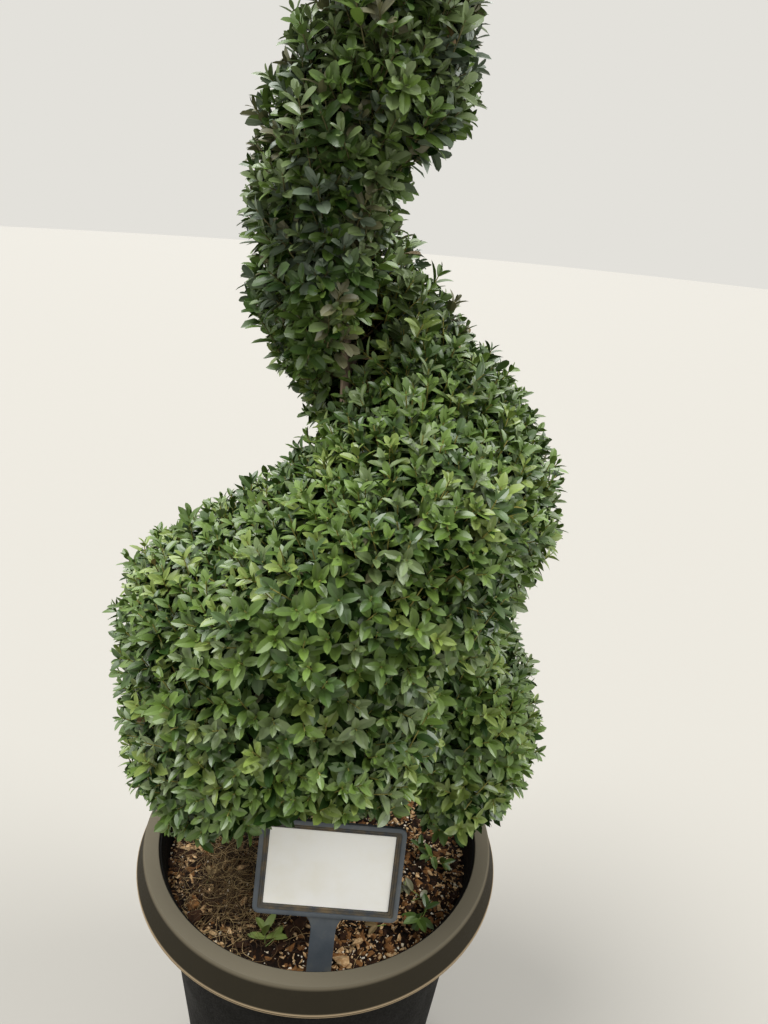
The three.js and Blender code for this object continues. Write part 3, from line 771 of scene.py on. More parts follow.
@dataclass
class PhotoCamera:
    """The camera that took the photo, found from the pot's ellipses."""

    place: Triple = (0.0475, -0.7432, 1.1268)
    down: float = 23.09
    roll: float = 4.82
    lens: float = 27.04
    sensor: float = 36.0

    def build(self) -> None:
        """Adds the camera and makes it the scene's own."""
        lens = bpy.data.cameras.new("photo_camera")
        lens.lens = self.lens
        lens.sensor_width = self.sensor
        lens.clip_end = 100
        camera = bpy.data.objects.new("photo_camera", lens)
        down, roll = math.radians(self.down), math.radians(self.roll)
        across = Vector((math.cos(roll), math.sin(roll) * math.sin(down), math.sin(roll) * math.cos(down)))
        above = Vector((-math.sin(roll), math.cos(roll) * math.sin(down), math.cos(roll) * math.cos(down)))
        behind = Vector((0, -math.cos(down), math.sin(down)))
        facing = Matrix((across, above, behind)).transposed().to_4x4()
        camera.matrix_world = Matrix.Translation(self.place) @ facing
        bpy.context.scene.collection.objects.link(camera)
        bpy.context.scene.camera = camera
        LOG.info("camera at %s", self.place)


@dataclass
class Studio:
    """A plain pale floor under soft light."""

    floor_radius: float = 14.0
    floor_sides: int = 96
    floor_colour: str = "#9b9891"
    sky_colour: str = "#f3f4f4"
    sky_strength: float = 0.62
    backdrop_colour: str = "#e3e1db"
    floor_roughness: float = 0.85
    lamp_angle: float = 34.0
    lamps: tuple[tuple[str, Triple, float], ...] = (
        ("key", (-0.5, -0.1, 1.0), 3.6),
        ("right", (0.95, 0.0, 0.85), 2.5),
        ("back", (-0.1, 0.75, 0.8), 1.6),
    )

    def build(self) -> None:
        """Adds the floor, the pale surroundings and the lamps."""
        angles = np.linspace(0, math.tau, self.floor_sides, endpoint=False)
        rim = np.stack([np.cos(angles), np.sin(angles), np.zeros_like(angles)], axis=1)
        mesh = mesh_of("floor", rim * self.floor_radius / MM, [list(range(self.floor_sides))], smooth=False)
        paint = {"Base Color": linear(self.floor_colour), "Roughness": self.floor_roughness}
        mesh.materials.append(new_material("painted studio floor", paint))
        shown("floor", mesh)
        world = bpy.data.worlds.new("studio")
        world.use_nodes = True
        tree = world.node_tree
        sky = tree.nodes["Background"]
        feed(sky, {"Color": linear(self.sky_colour), "Strength": self.sky_strength})
        backdrop = add_node(tree, "ShaderNodeBackground", inputs={"Color": linear(self.backdrop_colour)})
        seen = add_node(tree, "ShaderNodeLightPath").outputs["Is Camera Ray"]
        both = add_node(
            tree, "ShaderNodeMixShader", inputs={0: seen, 1: sky.outputs[0], 2: backdrop.outputs[0]}
        )
        feed(tree.nodes["World Output"], {"Surface": both.outputs[0]})
        bpy.context.scene.world = world
        for name, side, strength in self.lamps:
            self.lamp(name, side, strength)

    def lamp(self, name: str, side: Triple, strength: float) -> None:
        """Adds a broad, far lamp, which lights the whole floor alike.

        Args:
            name: the lamp's name.
            side: the direction it stands in.
            strength: its strength in watts per square metre.
        """
        light = bpy.data.lights.new(name, "SUN")
        light.angle = math.radians(self.lamp_angle)
        light.energy = strength
        lamp = bpy.data.objects.new(name, light)
        lamp.matrix_world = (-Vector(side)).to_track_quat("-Z", "Y").to_matrix().to_4x4()
        bpy.context.scene.collection.objects.link(lamp)


@dataclass
class Crown:
    """The clipped outline: a wide ball and a band that climbs from it as a spiral, in millimetres.

    A phase is an angle in degrees anticlockwise from above, 0 on the right, and it runs on from turn to turn.
    """

    base: float = 455.0
    front_phase: float = -85.0
    front_lift: float = 78.0
    front_power: int = 4
    label_phase: float = -90.0
    label_lift: Swell = Swell(37.0, 0.0, 29.0)
    crease_lift: Swell = Swell(64.0, 38.0, 12.0)
    left_drop: float = 28.0
    right_drop: float = 14.0
    top: float = 1530.0
    first_phase: float = -50.0
    last_phase: float = 740.0
    edges: Row = (-410, -325, -235, -145, -50, 30, 115, 200, 290, 380, 500, 620, 740)
    heights: Row = (
        480, 540, 620, 700, 800, 880, 950, 1000, 1050, 1100, 1200, 1270, 1360, 1450, 1500, 1530,
    )
    radii: Row = (
        196, 228, 243, 247, 248, 240, 214, 172, 114, 101, 101, 97, 86, 64, 42, 10,
    )
    sharpness: float = 7.0
    change_heights: Row = (
        440, 480, 540, 620, 680, 740, 800, 860, 910, 960, 1010, 1090, 1160, 1185, 1215, 1250,
    )
    left_change: Row = (-6, 12, 7, -8, -13, -20, -12, -6, -2, 0, 0, 8, 8, 0, -14, 0)
    right_change: Row = (32, 38, 27, 12, 5, 3, 0, -13, -9, 8, 10, 0, 0, 0, 0, 0)
    right_phase: float = -5.0
    right_side: Swell = Swell(1.0, 0.0, 45.0)
    # The spiral groove: the height of its middle, the radius of its bottom and half its height.
    groove_base: float = 752.0
    groove_pitch: float = 345.0
    groove_dips: tuple[Swell, ...] = (
        Swell(52.0, 270.0, 55.0),
        Swell(8.0, 185.0, 45.0),
        Swell(55.0, -8.0, 60.0),
        Swell(-13.0, TURN, 55.0),
    )
    groove_radii: tuple[Change, ...] = (
        Change(188.0, 18.0, 0.0, 180.0),
        Change(0.0, 23.0, 285.0, 60.0),
        Change(0.0, -6.0, 640.0, 100.0),
    )
    groove_halves: tuple[Change, ...] = (
        Change(32.0, 4.0, 0.0, 80.0),
        Change(0.0, 9.0, 200.0, 50.0),
        Change(0.0, 20.0, 300.0, 60.0),
    )
    covered_radius: float = 50.0
    bare_depth: float = 30.0
    # The crease between the ball's two lobes.
    crease_low: float = 545.0
    crease_high: float = 750.0
    crease_phases: Pair = (-53.0, -44.0)
    crease_bottom: float = 178.0
    crease_side: float = 0.9
    crease_end: float = 2.0
    # How the band widens above its lower edge and narrows below the groove over it.
    underside: float = 140.0
    underside_slope: float = 3.5
    flank: Change = Change(0.9, 1.5, 150.0, 60.0)
    band_foot: float = 52.0
    band_slope: float = 0.3
    band_covered: tuple[Change, ...] = (Change(200.0, 0.0, 120.0, 50.0), Change(0.0, 70.0, 350.0, 50.0))
    waist: Swell = Swell(1.0, 325.0, 38.0)
    waist_depth: float = 12.0
    waist_top: float = 1150.0
    waist_slope: float = 2.0
    shelf_slope: Change = Change(1.5, 0.8, 250.0, 200.0)
    steep_shelf: Swell = Swell(2.0, 285.0, 28.0)
    hollow_in: Change = Change(0.0, 1.0, 110.0, 50.0)
    hollow_out: Change = Change(1.0, 0.0, 215.0, 45.0)
    hollow_slope: float = 0.45
    hollow_curve: float = 0.0063
    tip_radius: float = 10.0
    tip_slope: float = 4.0
    # How the crown leans off the pot's axis, and the space round the trunk.
    lean: float = 6.0
    lean_top: float = 950.0
    lean_height: float = 200.0
    least_hollow: float = 15.0
    hollow_share: float = 0.13

    def outline(self, z: Array) -> Array:
        """Returns the outline's radius at a height."""
        return np.interp(z, self.heights, self.radii)

    def low_edge(self, phase: Array) -> Array:
        """Returns the height of the ball's lower edge, which is clipped higher in front."""
        facing = np.maximum(0, np.cos(np.radians(phase - self.front_phase)))
        away = wrapped(phase - self.label_phase)
        lift = self.front_lift * facing**self.front_power
        lift = lift + self.label_lift.at(away) + self.crease_lift.at(away)
        across = np.cos(np.radians(phase))
        drop = np.where(across < 0, self.left_drop, self.right_drop) * across**2
        return self.base + lift - drop

    def groove_height(self, phase: Array) -> Array:
        """Returns the height of the spiral groove's middle."""
        climb = self.groove_base + self.groove_pitch * np.maximum(phase, 0) / TURN
        return climb - sum(dip.at(phase) for dip in self.groove_dips)

    def groove_radius(self, phase: Array) -> Array:
        """Returns the radius of the groove's bottom."""
        return sum(change.at(phase) for change in self.groove_radii)

    def groove_half(self, phase: Array) -> Array:
        """Returns half the height of the groove's bottom."""
        return sum(change.at(phase) for change in self.groove_halves)

    def bareness(self, phase: Array) -> Array:
        """Returns how bare the trunk is in the groove, from 0 to 1."""
        return np.clip((self.covered_radius - self.groove_radius(phase)) / self.bare_depth, 0, 1)

    def crease_radius(self, phase: Array, z: Array) -> Array:
        """Returns the radius of the crease that parts the ball's two lobes at the front right."""
        share = np.clip((z - self.crease_low) / (self.crease_high - self.crease_low), 0, 1)
        away = np.radians(wrapped(phase - lerp(*self.crease_phases, share))) * self.crease_bottom
        above = np.maximum(0, z - self.crease_high)
        return self.crease_bottom + self.crease_side * np.abs(away) + self.crease_end * above

    def band(self, phase: Array) -> tuple[Array, Array]:
        """Returns the lowest and highest height of the band at a phase."""
        low = self.low_edge(phase)
        bare = self.groove_height(phase) + self.groove_half(phase) * self.bareness(phase)
        low = np.where(phase >= self.first_phase, np.maximum(low, bare), low)
        above = phase + TURN
        shelf = self.groove_height(above) - self.groove_half(above) * self.bareness(above)
        return low, np.where(above > self.last_phase, self.top, shelf)

    def least(self, limits: tuple[Array, ...]) -> Array:
        """Returns the smallest of some radii, with soft corners where one takes over from another."""
        total = sum(np.maximum(limit, 1) ** -self.sharpness for limit in limits)
        return total ** (-1 / self.sharpness)

    def clipped(self, phase: Array, z: Array) -> Array:
        """Returns the outline's radius as it is clipped on the left and on the right."""
        right = self.right_side.at(wrapped(phase - self.right_phase))
        left = np.maximum(0, -np.cos(np.radians(phase)))
        change = right * np.interp(z, self.change_heights, self.right_change)
        return self.outline(z) + change + left * np.interp(z, self.change_heights, self.left_change)

    def from_below(self, phase: Array, z: Array) -> Array:
        """Returns the radius that the band's underside and the groove under it leave."""
        underside = self.underside + self.underside_slope * np.maximum(0, z - self.low_edge(phase))
        rise = np.maximum(0, z - self.groove_height(phase) - self.groove_half(phase))
        steep = self.groove_radius(phase) + self.flank.at(phase) * rise
        widening = self.waist_slope * np.maximum(0, z - self.waist_top) - self.waist_depth
        slim = self.band_foot + self.band_slope * rise + self.waist.at(phase) * widening
        slim = slim + sum(cover.at(phase) for cover in self.band_covered)
        opened = np.minimum(underside, self.least((steep, slim)))
        return np.where(phase >= self.first_phase, opened, underside)

    def from_above(self, phase: Array, z: Array) -> Array:
        """Returns the radius that the groove over the band leaves, or the tip above the last one."""
        above = phase + TURN
        drop = np.maximum(0, self.groove_height(above) - self.groove_half(above) - z)
        hollow = self.hollow_in.at(above) * self.hollow_out.at(above)
        slope = lerp(self.shelf_slope.at(above), self.hollow_slope, hollow) + self.steep_shelf.at(above)
        shelf = self.groove_radius(above) + slope * drop + self.hollow_curve * hollow * drop**2
        tip = self.tip_radius + self.tip_slope * (self.top - z)
        return np.where(above <= self.last_phase, shelf, tip)

    def radius(self, phase: Array, z: Array) -> Array:
        """Returns the band's radius at a phase and height, with its corners softened."""
        limits = (self.clipped, self.from_below, self.from_above, self.crease_radius)
        return self.least(tuple(limit(phase, z) for limit in limits))

    def shift(self, z: Array) -> Array:
        """Returns how far the crown's axis lies to the right of the pot's."""
        return self.lean * np.clip((self.lean_top - z) / self.lean_height, 0, 1)

    def at(self, phase: Array, radius: Array, z: Array) -> Array:
        """Returns the point at a phase, radius and height."""
        angle = np.radians(phase)
        x = radius * np.cos(angle) + self.shift(z)
        return np.stack(np.broadcast_arrays(x, radius * np.sin(angle), z), axis=-1)

    def surface(self, phase: Array, z: Array) -> Array:
        """Returns the point of the clipped surface at a phase and height."""
        return self.at(phase, self.radius(phase, z), z)

    def outward(self, phase: Array, z: Array) -> Array:
        """Returns the surface's outward direction."""
        here = self.surface(phase, z)
        return unit(np.cross(self.surface(phase + 1, z) - here, self.surface(phase, z + 2) - here))

    def hollow(self, phase: float) -> float:
        """Returns the radius round the trunk that holds no foliage."""
        low, high = self.band(np.float64(phase))
        return max(self.least_hollow, self.hollow_share * float(self.outline((low + high) / 2)))


@dataclass
class TrunkLine:
    """The trunk's axis and radius, with a slight sway and a root flare."""

    soil: float = 334.0
    foot: float = 334.3
    top: float = 1462.0
    foot_radius: float = 13.0
    top_radius: float = 2.2
    flare: float = 7.0
    flare_height: float = 28.0
    taper_power: float = 0.6
    sway: float = 4.0
    sway_length: float = 400.0
    sway_turn: float = 3.0

    def axis(self, z: Array) -> Array:
        """Returns the axis' points at some heights."""
        rise = (z - self.soil) / self.sway_length * math.tau
        x = self.sway * np.sin(rise)
        y = self.sway * (np.sin(rise + self.sway_turn) - math.sin(self.sway_turn))
        return np.stack([x, y, z], axis=-1)

    def radius(self, z: Array) -> Array:
        """Returns the trunk's radius at some heights."""
        share = np.clip((z - self.foot) / (self.top - self.foot), 0, 1)
        return lerp(self.foot_radius, self.top_radius, share**self.taper_power)


@dataclass(frozen=True)
class Layer:
    """A depth of shoots under the clipped surface, over the whole crown or its upper turns alone."""

    spacing: float
    highest: float
    lowest: float
    youngest: int
    oldest: int
    seed: int
    above: float = 0.0


@dataclass
class Shoots:
    """Leafy shoots: where each ends, where it points and how far back it carries leaves."""

    tip: Array
    along: Array
    outward: Array
    reach: Array
    mass: Array
    phase: Array
    layer: Layer

    def bend(self) -> Array:
        """Returns how fast each shoot drops behind its tip, in one over millimetres."""
        return DROOP * (1 - np.minimum(1, DROOP_FADE * np.maximum(0, -self.outward[:, 2:])))

    def place(self, back: Array) -> Array:
        """Returns points `back` millimetres behind the tips, of shape (shoots, steps, 3)."""
        run = self.along[:, None] * back[..., None]
        return self.tip[:, None] - run - UP * (self.bend() * back**2)[..., None]

    def feet(self) -> Array:
        """Returns the points where the shoots' leafy parts start."""
        return self.place(self.reach[:, None])[:, 0]

    def tangent(self, back: Array) -> Array:
        """Returns the shoots' directions at those points."""
        return unit(self.along[:, None] + UP * (2 * self.bend() * back)[..., None])

    def chosen(self, which: Array) -> Shoots:
        """Returns some of the shoots."""
        parts = (self.tip, self.along, self.outward, self.reach, self.mass, self.phase)
        return Shoots(*(part[which] for part in parts), self.layer)


class LeafTree(GrowTree):
    """Sets leaf shapes on points, and gives each the material of its tint."""

    def __init__(self) -> None:
        """Builds the tree."""
        inputs = {"Shapes": "NodeSocketCollection"}
        inputs.update({tint.name: "NodeSocketMaterial" for tint in TINTS})
        columns = {"kind": "INT", "facing": "QUATERNION", "size": "FLOAT_VECTOR", "tint": "INT"}
        super().__init__("Leaf sprays", inputs, columns)
        shapes = self.add(
            "GeometryNodeCollectionInfo",
            inputs={"Collection": self.start["Shapes"], "Separate Children": True, "Reset Children": True},
        )
        set_out = self.add(
            "GeometryNodeInstanceOnPoints",
            inputs={
                "Points": self.start["Geometry"],
                "Instance": shapes.outputs[0],
                "Pick Instance": True,
                "Instance Index": self.columns["kind"],
                "Rotation": self.columns["facing"],
                "Scale": self.columns["size"],
            },
        )
        shape = self.then(set_out.outputs[0], "GeometryNodeRealizeInstances")
        for number, tint in enumerate(TINTS):
            same = self.add(
                "FunctionNodeCompare",
                {"data_type": "INT", "operation": "EQUAL"},
                {2: self.columns["tint"], 3: number},
            )
            look = {"Selection": same.outputs[0], "Material": self.start[tint.name]}
            shape = self.then(shape, "GeometryNodeSetMaterial", **look)
        self.end(shape)


@dataclass
class LeafShapes:
    """A few leaf blades of length one: pointed ones, blunt ones, and plainer ones for the inside."""

    pointed: tuple = ((0.1, 0.5), (0.34, 0.94), (0.62, 1.0), (0.86, 0.64))
    blunt: tuple = ((0.12, 0.46), (0.38, 0.88), (0.68, 1.0), (0.91, 0.72))
    plain: tuple = ((0.24, 0.86), (0.7, 0.9))
    counts: tuple[int, int, int] = (4, 4, 3)
    width: float = 0.42
    keel: float = 0.36
    sweep: float = 0.02
    recurves: Pair = (0.1, 0.34)
    twists: Pair = (-0.2, 0.2)
    seed: int = 5

    def build(self) -> bpy.types.Collection:
        """Returns a collection of leaf blades that lies outside the scene."""
        shapes = bpy.data.collections.new("leaf shapes")
        rng = np.random.default_rng(self.seed)
        for count, stations in zip(self.counts, (self.pointed, self.blunt, self.plain)):
            for _ in range(count):
                mesh = self.blade(stations, rng.uniform(*self.recurves), rng.uniform(*self.twists))
                blade = bpy.data.objects.new(f"blade_{len(shapes.objects):02d}", mesh)
                shapes.objects.link(blade)
        return shapes

    def blade(self, stations: tuple, recurve: float, twist: float) -> bpy.types.Mesh:
        """Makes one blade, folded along its midrib.

        Args:
            stations: share of the length and of the half width at each station.
            recurve: how far the tip bends down, as a share of the length.
            twist: how far the tip turns, in radians.

        Returns:
            The blade's mesh, one metre long, flat shaded only across the midrib.
        """
        points, faces = [], []
        for side in (1, -1):
            first = len(points)
            rows = [(0.0, 0.0), *stations, (1.0, 0.0)]
            for along, share in rows:
                drop = -recurve * along**2
                reach = side * share * self.width / 2
                turn = twist * along
                points.append((along, 0.0, drop))
                if share:
                    rise = self.keel * abs(reach) + reach * math.sin(turn)
                    points.append((along - self.sweep * share, reach * math.cos(turn), drop + rise))
            count = len(stations)
            base, tip = first, first + 1 + 2 * count
            mids = [first + 1 + 2 * n for n in range(count)]
            rims = [mid + 1 for mid in mids]
            half = [(base, mids[0], rims[0])]
            for a, b, c, d in zip(mids, mids[1:], rims, rims[1:]):
                half += [(a, b, d), (a, d, c)]
            half.append((mids[-1], tip, rims[-1]))
            faces += [face if side > 0 else face[::-1] for face in half]
        return mesh_of("blade", np.array(points) / MM, faces)


@dataclass
class Foliage:
    """Shoots over the whole clipped surface, with their leaves, twigs and branches."""

    crown: Crown
    trunk: TrunkLine
    tubes: TubeTree
    layers: tuple[Layer, ...] = (
        Layer(15.4, 5.0, -12.0, 0, 8, 11),
        Layer(18.0, -15.0, -30.0, 0, 7, 12),
        Layer(29.0, -40.0, -58.0, 1, 6, 13),
        Layer(16.5, -22.0, -44.0, 1, 6, 14, 880.0),
        Layer(20.0, 2.0, -14.0, 0, 7, 15, 880.0),
    )
    new_pairs: int = 5
    clump: float = 38.0
    clump_depth: float = 9.0
    node_depths: Row = (0.5, 4.0, 10.5, 18.0, 25.5, 32.5, 38.5, 44.0, 49.0)
    leaf_angles: Row = (20, 36, 47, 54, 60, 66, 72, 80, 88)
    leaf_lengths: Row = (8.5, 14, 18, 19.8, 20, 19.2, 18, 17, 16)
    leaf_widths: Row = (0.38, 0.43, 0.46, 0.48, 0.48, 0.48, 0.48, 0.48, 0.48)
    # How far back a shoot carries leaves, and which ones stay.
    longest_reach: float = 50.0
    shortest_reach: float = 12.0
    reach_share: float = 0.62
    reach_gap: float = 4.0
    reach_cut: float = 0.75
    reach_cuts: int = 5
    overlap: float = -5.0
    widest: float = 1.05
    core_depth: float = -35.0
    core_radius: float = 52.0
    # Where shoots grow and where they point.
    sample_step: float = 2.0
    sample_rows: int = 121
    samples_each: int = 9
    slim: float = 24.0
    slim_share: float = 0.35
    upper_turns: Change = Change(0.0, 1.0, 880.0, 180.0)
    upper_tints: Change = Change(0.0, 1.0, 930.0, 200.0)
    climb: Change = Change(0.6, 0.85, 880.0, 180.0)
    overhang_climb: float = 0.25
    wander: float = 0.32
    upper_depth: float = 7.0
    clump_middle: float = 0.25
    stragglers: Row = (0.0, 0.0, 0.0, 6.0, 12.0)
    # How leaf pairs differ from the table above, by chance and by height.
    pair_spacing: Pair = (0.88, 1.12)
    pair_twist: float = 0.16
    side_twist: float = 0.12
    vigour: Pair = (0.86, 1.14)
    growth: Change = Change(1.0, 1.07, 900.0, 180.0)
    angle_wobble: float = 8.0
    sky_share: float = 0.7
    light_pull: float = 0.8
    face_wobble: float = 0.1
    length_range: Pair = (0.9, 1.1)
    breadth_range: Pair = (0.92, 1.1)
    blunt_share: Change = Change(0.1, 0.85, 850.0, 200.0)
    old_pair: int = 4
    # Shares of old leaves and of deep-layer leaves that take the dark inner tint, which is painted shade
    # inside the crown.
    old_painted_shade: Change = Change(0.7, 0.15, 880.0, 180.0)
    deep_painted_shade: Change = Change(0.75, 0.15, 880.0, 180.0)
    deep_bronze: float = 0.07
    dead_share: float = 0.0012
    yellow_share: float = 0.0005
    lost_new: float = 0.03
    lost_old: float = 0.16
    stalk: float = 0.6
    # The wood inside: boughs, then hubs that branchlets reach and knots that branches reach.
    bough_depth: float = 2.8
    bough_slope: float = 0.45
    bough_radii: Pair = (4.9, 3.2)
    hub_depth: float = 0.4
    hub_depths: Pair = (12.0, 56.0)
    hub_drop: float = 4.0
    hub_margin: float = 6.0
    hub_share: float = 0.88
    hub_spacing: float = 40.0
    knot_spacing: float = 95.0
    knot_share: float = 0.62
    branch_sag: float = 0.14
    branchlet_sag: float = 0.16
    branch_climb: float = 1.2
    branchlet_climb: float = 0.8
    stem_climb: float = 0.6
    stem_pull: float = 0.4
    longest_pull: float = 12.0
    low_masses: int = 6
    stem_steps: int = 3
    branchlet_steps: int = 5
    branch_steps: int = 6
    bough_steps: int = 12
    tube_sides: tuple[int, int, int] = (3, 4, 6)
    bough_sides: int = 14
    stem_radii: Pair = (1.0, 0.62)
    branchlet_shares: Pair = (0.6, 0.37)
    branch_shares: Pair = (1.0, 0.6)
    branch_radius: float = 2.9
    upper_branch_radius: float = 2.0
    materials: dict[Tint, bpy.types.Material] = field(default_factory=dict)
    sprays: LeafTree | None = None
    shapes: bpy.types.Collection | None = None

    def candidates(self, layer: Layer) -> tuple[Array, Array]:
        """Samples the clipped surface evenly by area.

        Args:
            layer: the layer, whose spacing sets how many candidates are drawn.

        Returns:
            Phases and heights of the candidates.
        """
        rng = np.random.default_rng(layer.seed)
        phases = np.arange(self.crown.edges[0], self.crown.edges[-1], self.sample_step)
        shares = np.linspace(0, 1, self.sample_rows)
        low, high = self.crown.band(phases)
        z = low[:, None] + (high - low)[:, None] * shares[None]
        grid = self.crown.surface(phases[:, None], z)
        one = grid[1:, 1:] - grid[:-1, :-1]
        other = grid[1:, :-1] - grid[:-1, 1:]
        area = np.linalg.norm(np.cross(one, other), axis=2) / 2
        count = int(area.sum() / layer.spacing**2 * self.samples_each)
        cell = rng.choice(area.size, count, p=area.ravel() / area.sum())
        row, column = np.divmod(cell, area.shape[1])
        phase = phases[row] + self.sample_step * rng.random(count)
        share = shares[column] + (shares[1] - shares[0]) * rng.random(count)
        low, high = self.crown.band(phase)
        return phase, low + (high - low) * share

    def shoots(self, layer: Layer) -> Shoots:
        """Grows one layer of shoots.

        Args:
            layer: its spacing and depths.

        Returns:
            The shoots.
        """
        phase, z = self.candidates(layer)
        kept = thin(self.crown.surface(phase, z), layer.spacing)
        phase, z = phase[kept], z[kept]
        rng = np.random.default_rng(layer.seed + SHOOT_SEED)
        wide = self.crown.radius(phase, z)
        grown = ((wide > self.slim) | (rng.random(len(phase)) < self.slim_share)) & (z > layer.above)
        phase, z, wide = phase[grown], z[grown], wide[grown]
        count = len(phase)
        skin = self.crown.surface(phase, z)
        outward = self.crown.outward(phase, z)
        upper = self.upper_turns.at(z)
        lift = self.climb.at(z) + self.overhang_climb * np.maximum(0, -outward[:, 2])
        along = unit(outward + UP * lift[:, None] + rng.normal(0, self.wander, (count, 3)))
        depth = rng.uniform(layer.lowest, layer.highest, count) - self.upper_depth * upper
        clumps = np.array([noise.noise(Vector(place / self.clump)) for place in skin])
        depth += self.clump_depth * (clumps - self.clump_middle)
        depth += upper * rng.choice(self.stragglers, count) * (layer.highest > 0)
        tip = skin + outward * depth[:, None]
        reach = self.reach_share * (wide + np.minimum(depth, 0)) - self.reach_gap
        reach = np.clip(reach, self.shortest_reach, self.longest_reach)
        last = len(self.crown.edges) - 2
        mass = np.clip(np.searchsorted(self.crown.edges, phase, "right") - 1, 0, last)
        shoots = Shoots(tip, along, outward, reach, mass, phase, layer)
        for _ in range(self.reach_cuts):
            within = self.inside(shoots.feet(), phase, self.overlap, 1.0)
            shoots.reach = np.where(within, shoots.reach, self.reach_cut * shoots.reach)
        kept = (depth > self.core_depth) | (wide > self.core_radius)
        kept &= self.inside(shoots.feet(), phase, self.overlap, self.widest)
        return shoots.chosen(kept)

    def tints_of(self, shoots: Shoots, rng: np.random.Generator) -> Array:
        """Deals out a tint to each shoot, by its height."""
        upper = self.upper_tints.at(shoots.tip[:, 2])
        draw = rng.random(len(upper))
        tints = np.zeros(len(upper), dtype=int)
        passed = np.zeros(len(upper))
        for tint, share in LOW_TINTS.items():
            passed = passed + lerp(share, HIGH_TINTS[tint], upper)
            tints += draw > passed
        order = np.array([TINT_NUMBER[tint] for tint in LOW_TINTS])
        return order[np.minimum(tints, len(order) - 1)]

    def leaves(self, shoots: Shoots) -> dict[str, Array]:
        """Sets leaves along shoots, in crossed pairs.

        Args:
            shoots: the shoots.

        Returns:
            For each leaf its place, facing, size, kind, tint and mass.
        """
        layer = shoots.layer
        rng = np.random.default_rng(layer.seed + LEAF_SEED)
        count = len(shoots.reach)
        height = shoots.tip[:, 2:]
        pairs = np.arange(layer.youngest, layer.oldest)
        depths = np.broadcast_to(np.array(self.node_depths)[pairs], (count, len(pairs)))
        back = depths * rng.uniform(*self.pair_spacing, (count, 1))
        place = shoots.place(back)
        ahead = shoots.tangent(back)
        rough = unit(rng.normal(size=(count, 1, 3)))
        first = unit(np.cross(ahead, rough))
        second = np.cross(ahead, first)
        start = rng.uniform(0, math.tau, (count, 1)) + pairs[None] * math.pi / 2
        start = start + rng.normal(0, self.pair_twist, start.shape)
        vigour = rng.uniform(*self.vigour, (count, 1))
        tints = self.tints_of(shoots, rng)
        tables = (self.leaf_angles, self.leaf_lengths, self.leaf_widths)
        angles, lengths, widths = (np.array(table)[pairs][None] for table in tables)
        light = unit(shoots.outward[:, None] + self.sky_share * UP)
        old = pairs[None] >= self.old_pair
        new = (pairs[None] < self.new_pairs) & (layer.highest > 0)
        keys = ("place", "facing", "size", "kind", "tint", "mass")
        parts: dict[str, list[Array]] = {key: [] for key in keys}
        for side in (0, 1):
            turn = start + math.pi * side + rng.normal(0, self.side_twist, start.shape)
            sideways = np.cos(turn)[..., None] * first + np.sin(turn)[..., None] * second
            angle = np.radians(angles + rng.normal(0, self.angle_wobble, start.shape))
            blade = np.cos(angle)[..., None] * ahead + np.sin(angle)[..., None] * sideways
            upper = np.sin(angle)[..., None] * ahead - np.cos(angle)[..., None] * sideways
            upper = upper + self.light_pull * light + rng.normal(0, self.face_wobble, upper.shape)
            upper = unit(upper - blade * (upper * blade).sum(axis=2, keepdims=True))
            length = lengths * self.growth.at(height) * vigour
            length = length * rng.uniform(*self.length_range, start.shape)
            breadth = widths / LeafShapes.width * rng.uniform(*self.breadth_range, start.shape)
            size = np.stack([length, length * breadth, length], axis=2)
            blunt = rng.random((count, 1)) < self.blunt_share.at(height)
            fresh = np.where(blunt, rng.integers(*BLUNT, start.shape), rng.integers(*POINTED, start.shape))
            kind = np.where(new, fresh, rng.integers(*PLAIN, start.shape))
            tint = np.broadcast_to(tints[:, None], start.shape).copy()
            # Old leaves, and leaves of the deep layers, take the dark inner tint as painted shade.
            tint[old & (rng.random(start.shape) < self.old_painted_shade.at(height))] = TINT_NUMBER[Tint.INNER]
            if layer.highest < 0:
                tint[rng.random(start.shape) < self.deep_painted_shade.at(height)] = TINT_NUMBER[Tint.INNER]
                tint[rng.random(start.shape) < self.deep_bronze] = TINT_NUMBER[Tint.BRONZE]
            odd = rng.random(start.shape)
            tint[odd < self.dead_share] = TINT_NUMBER[Tint.DEAD]
            tint[odd > 1 - self.yellow_share] = TINT_NUMBER[Tint.YELLOW]
            lost = rng.random(start.shape) < np.where(old, self.lost_old, self.lost_new)
            kept = (back <= shoots.reach[:, None]) & ~lost
            mass = np.broadcast_to(shoots.mass[:, None], start.shape)
            stem = place + sideways * self.stalk
            facing = turned(blade[kept], upper[kept])
            values = (stem[kept], facing, size[kept], kind[kept], tint[kept], mass[kept])
            for key, value in zip(parts, values):
                parts[key].append(value)
        return {key: np.concatenate(value) for key, value in parts.items()}

    def boughs(self) -> list[tuple[Array, Array]]:
        """Returns each bough's start on the trunk and its end, at the height of its CAD node."""
        lines = []
        for number, (start, end) in enumerate(zip(self.crown.edges, self.crown.edges[1:]), 1):
            _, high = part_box(f"bough_{number:02d}")
            phase = (start + end) / 2
            inner = self.crown.hollow(phase)
            z = high.z / MM - self.bough_depth
            tip = self.crown.at(np.float64(phase), np.float64(inner), np.float64(z))
            lines.append((self.trunk.axis(np.float64(z - inner * self.bough_slope)), tip))
        return lines

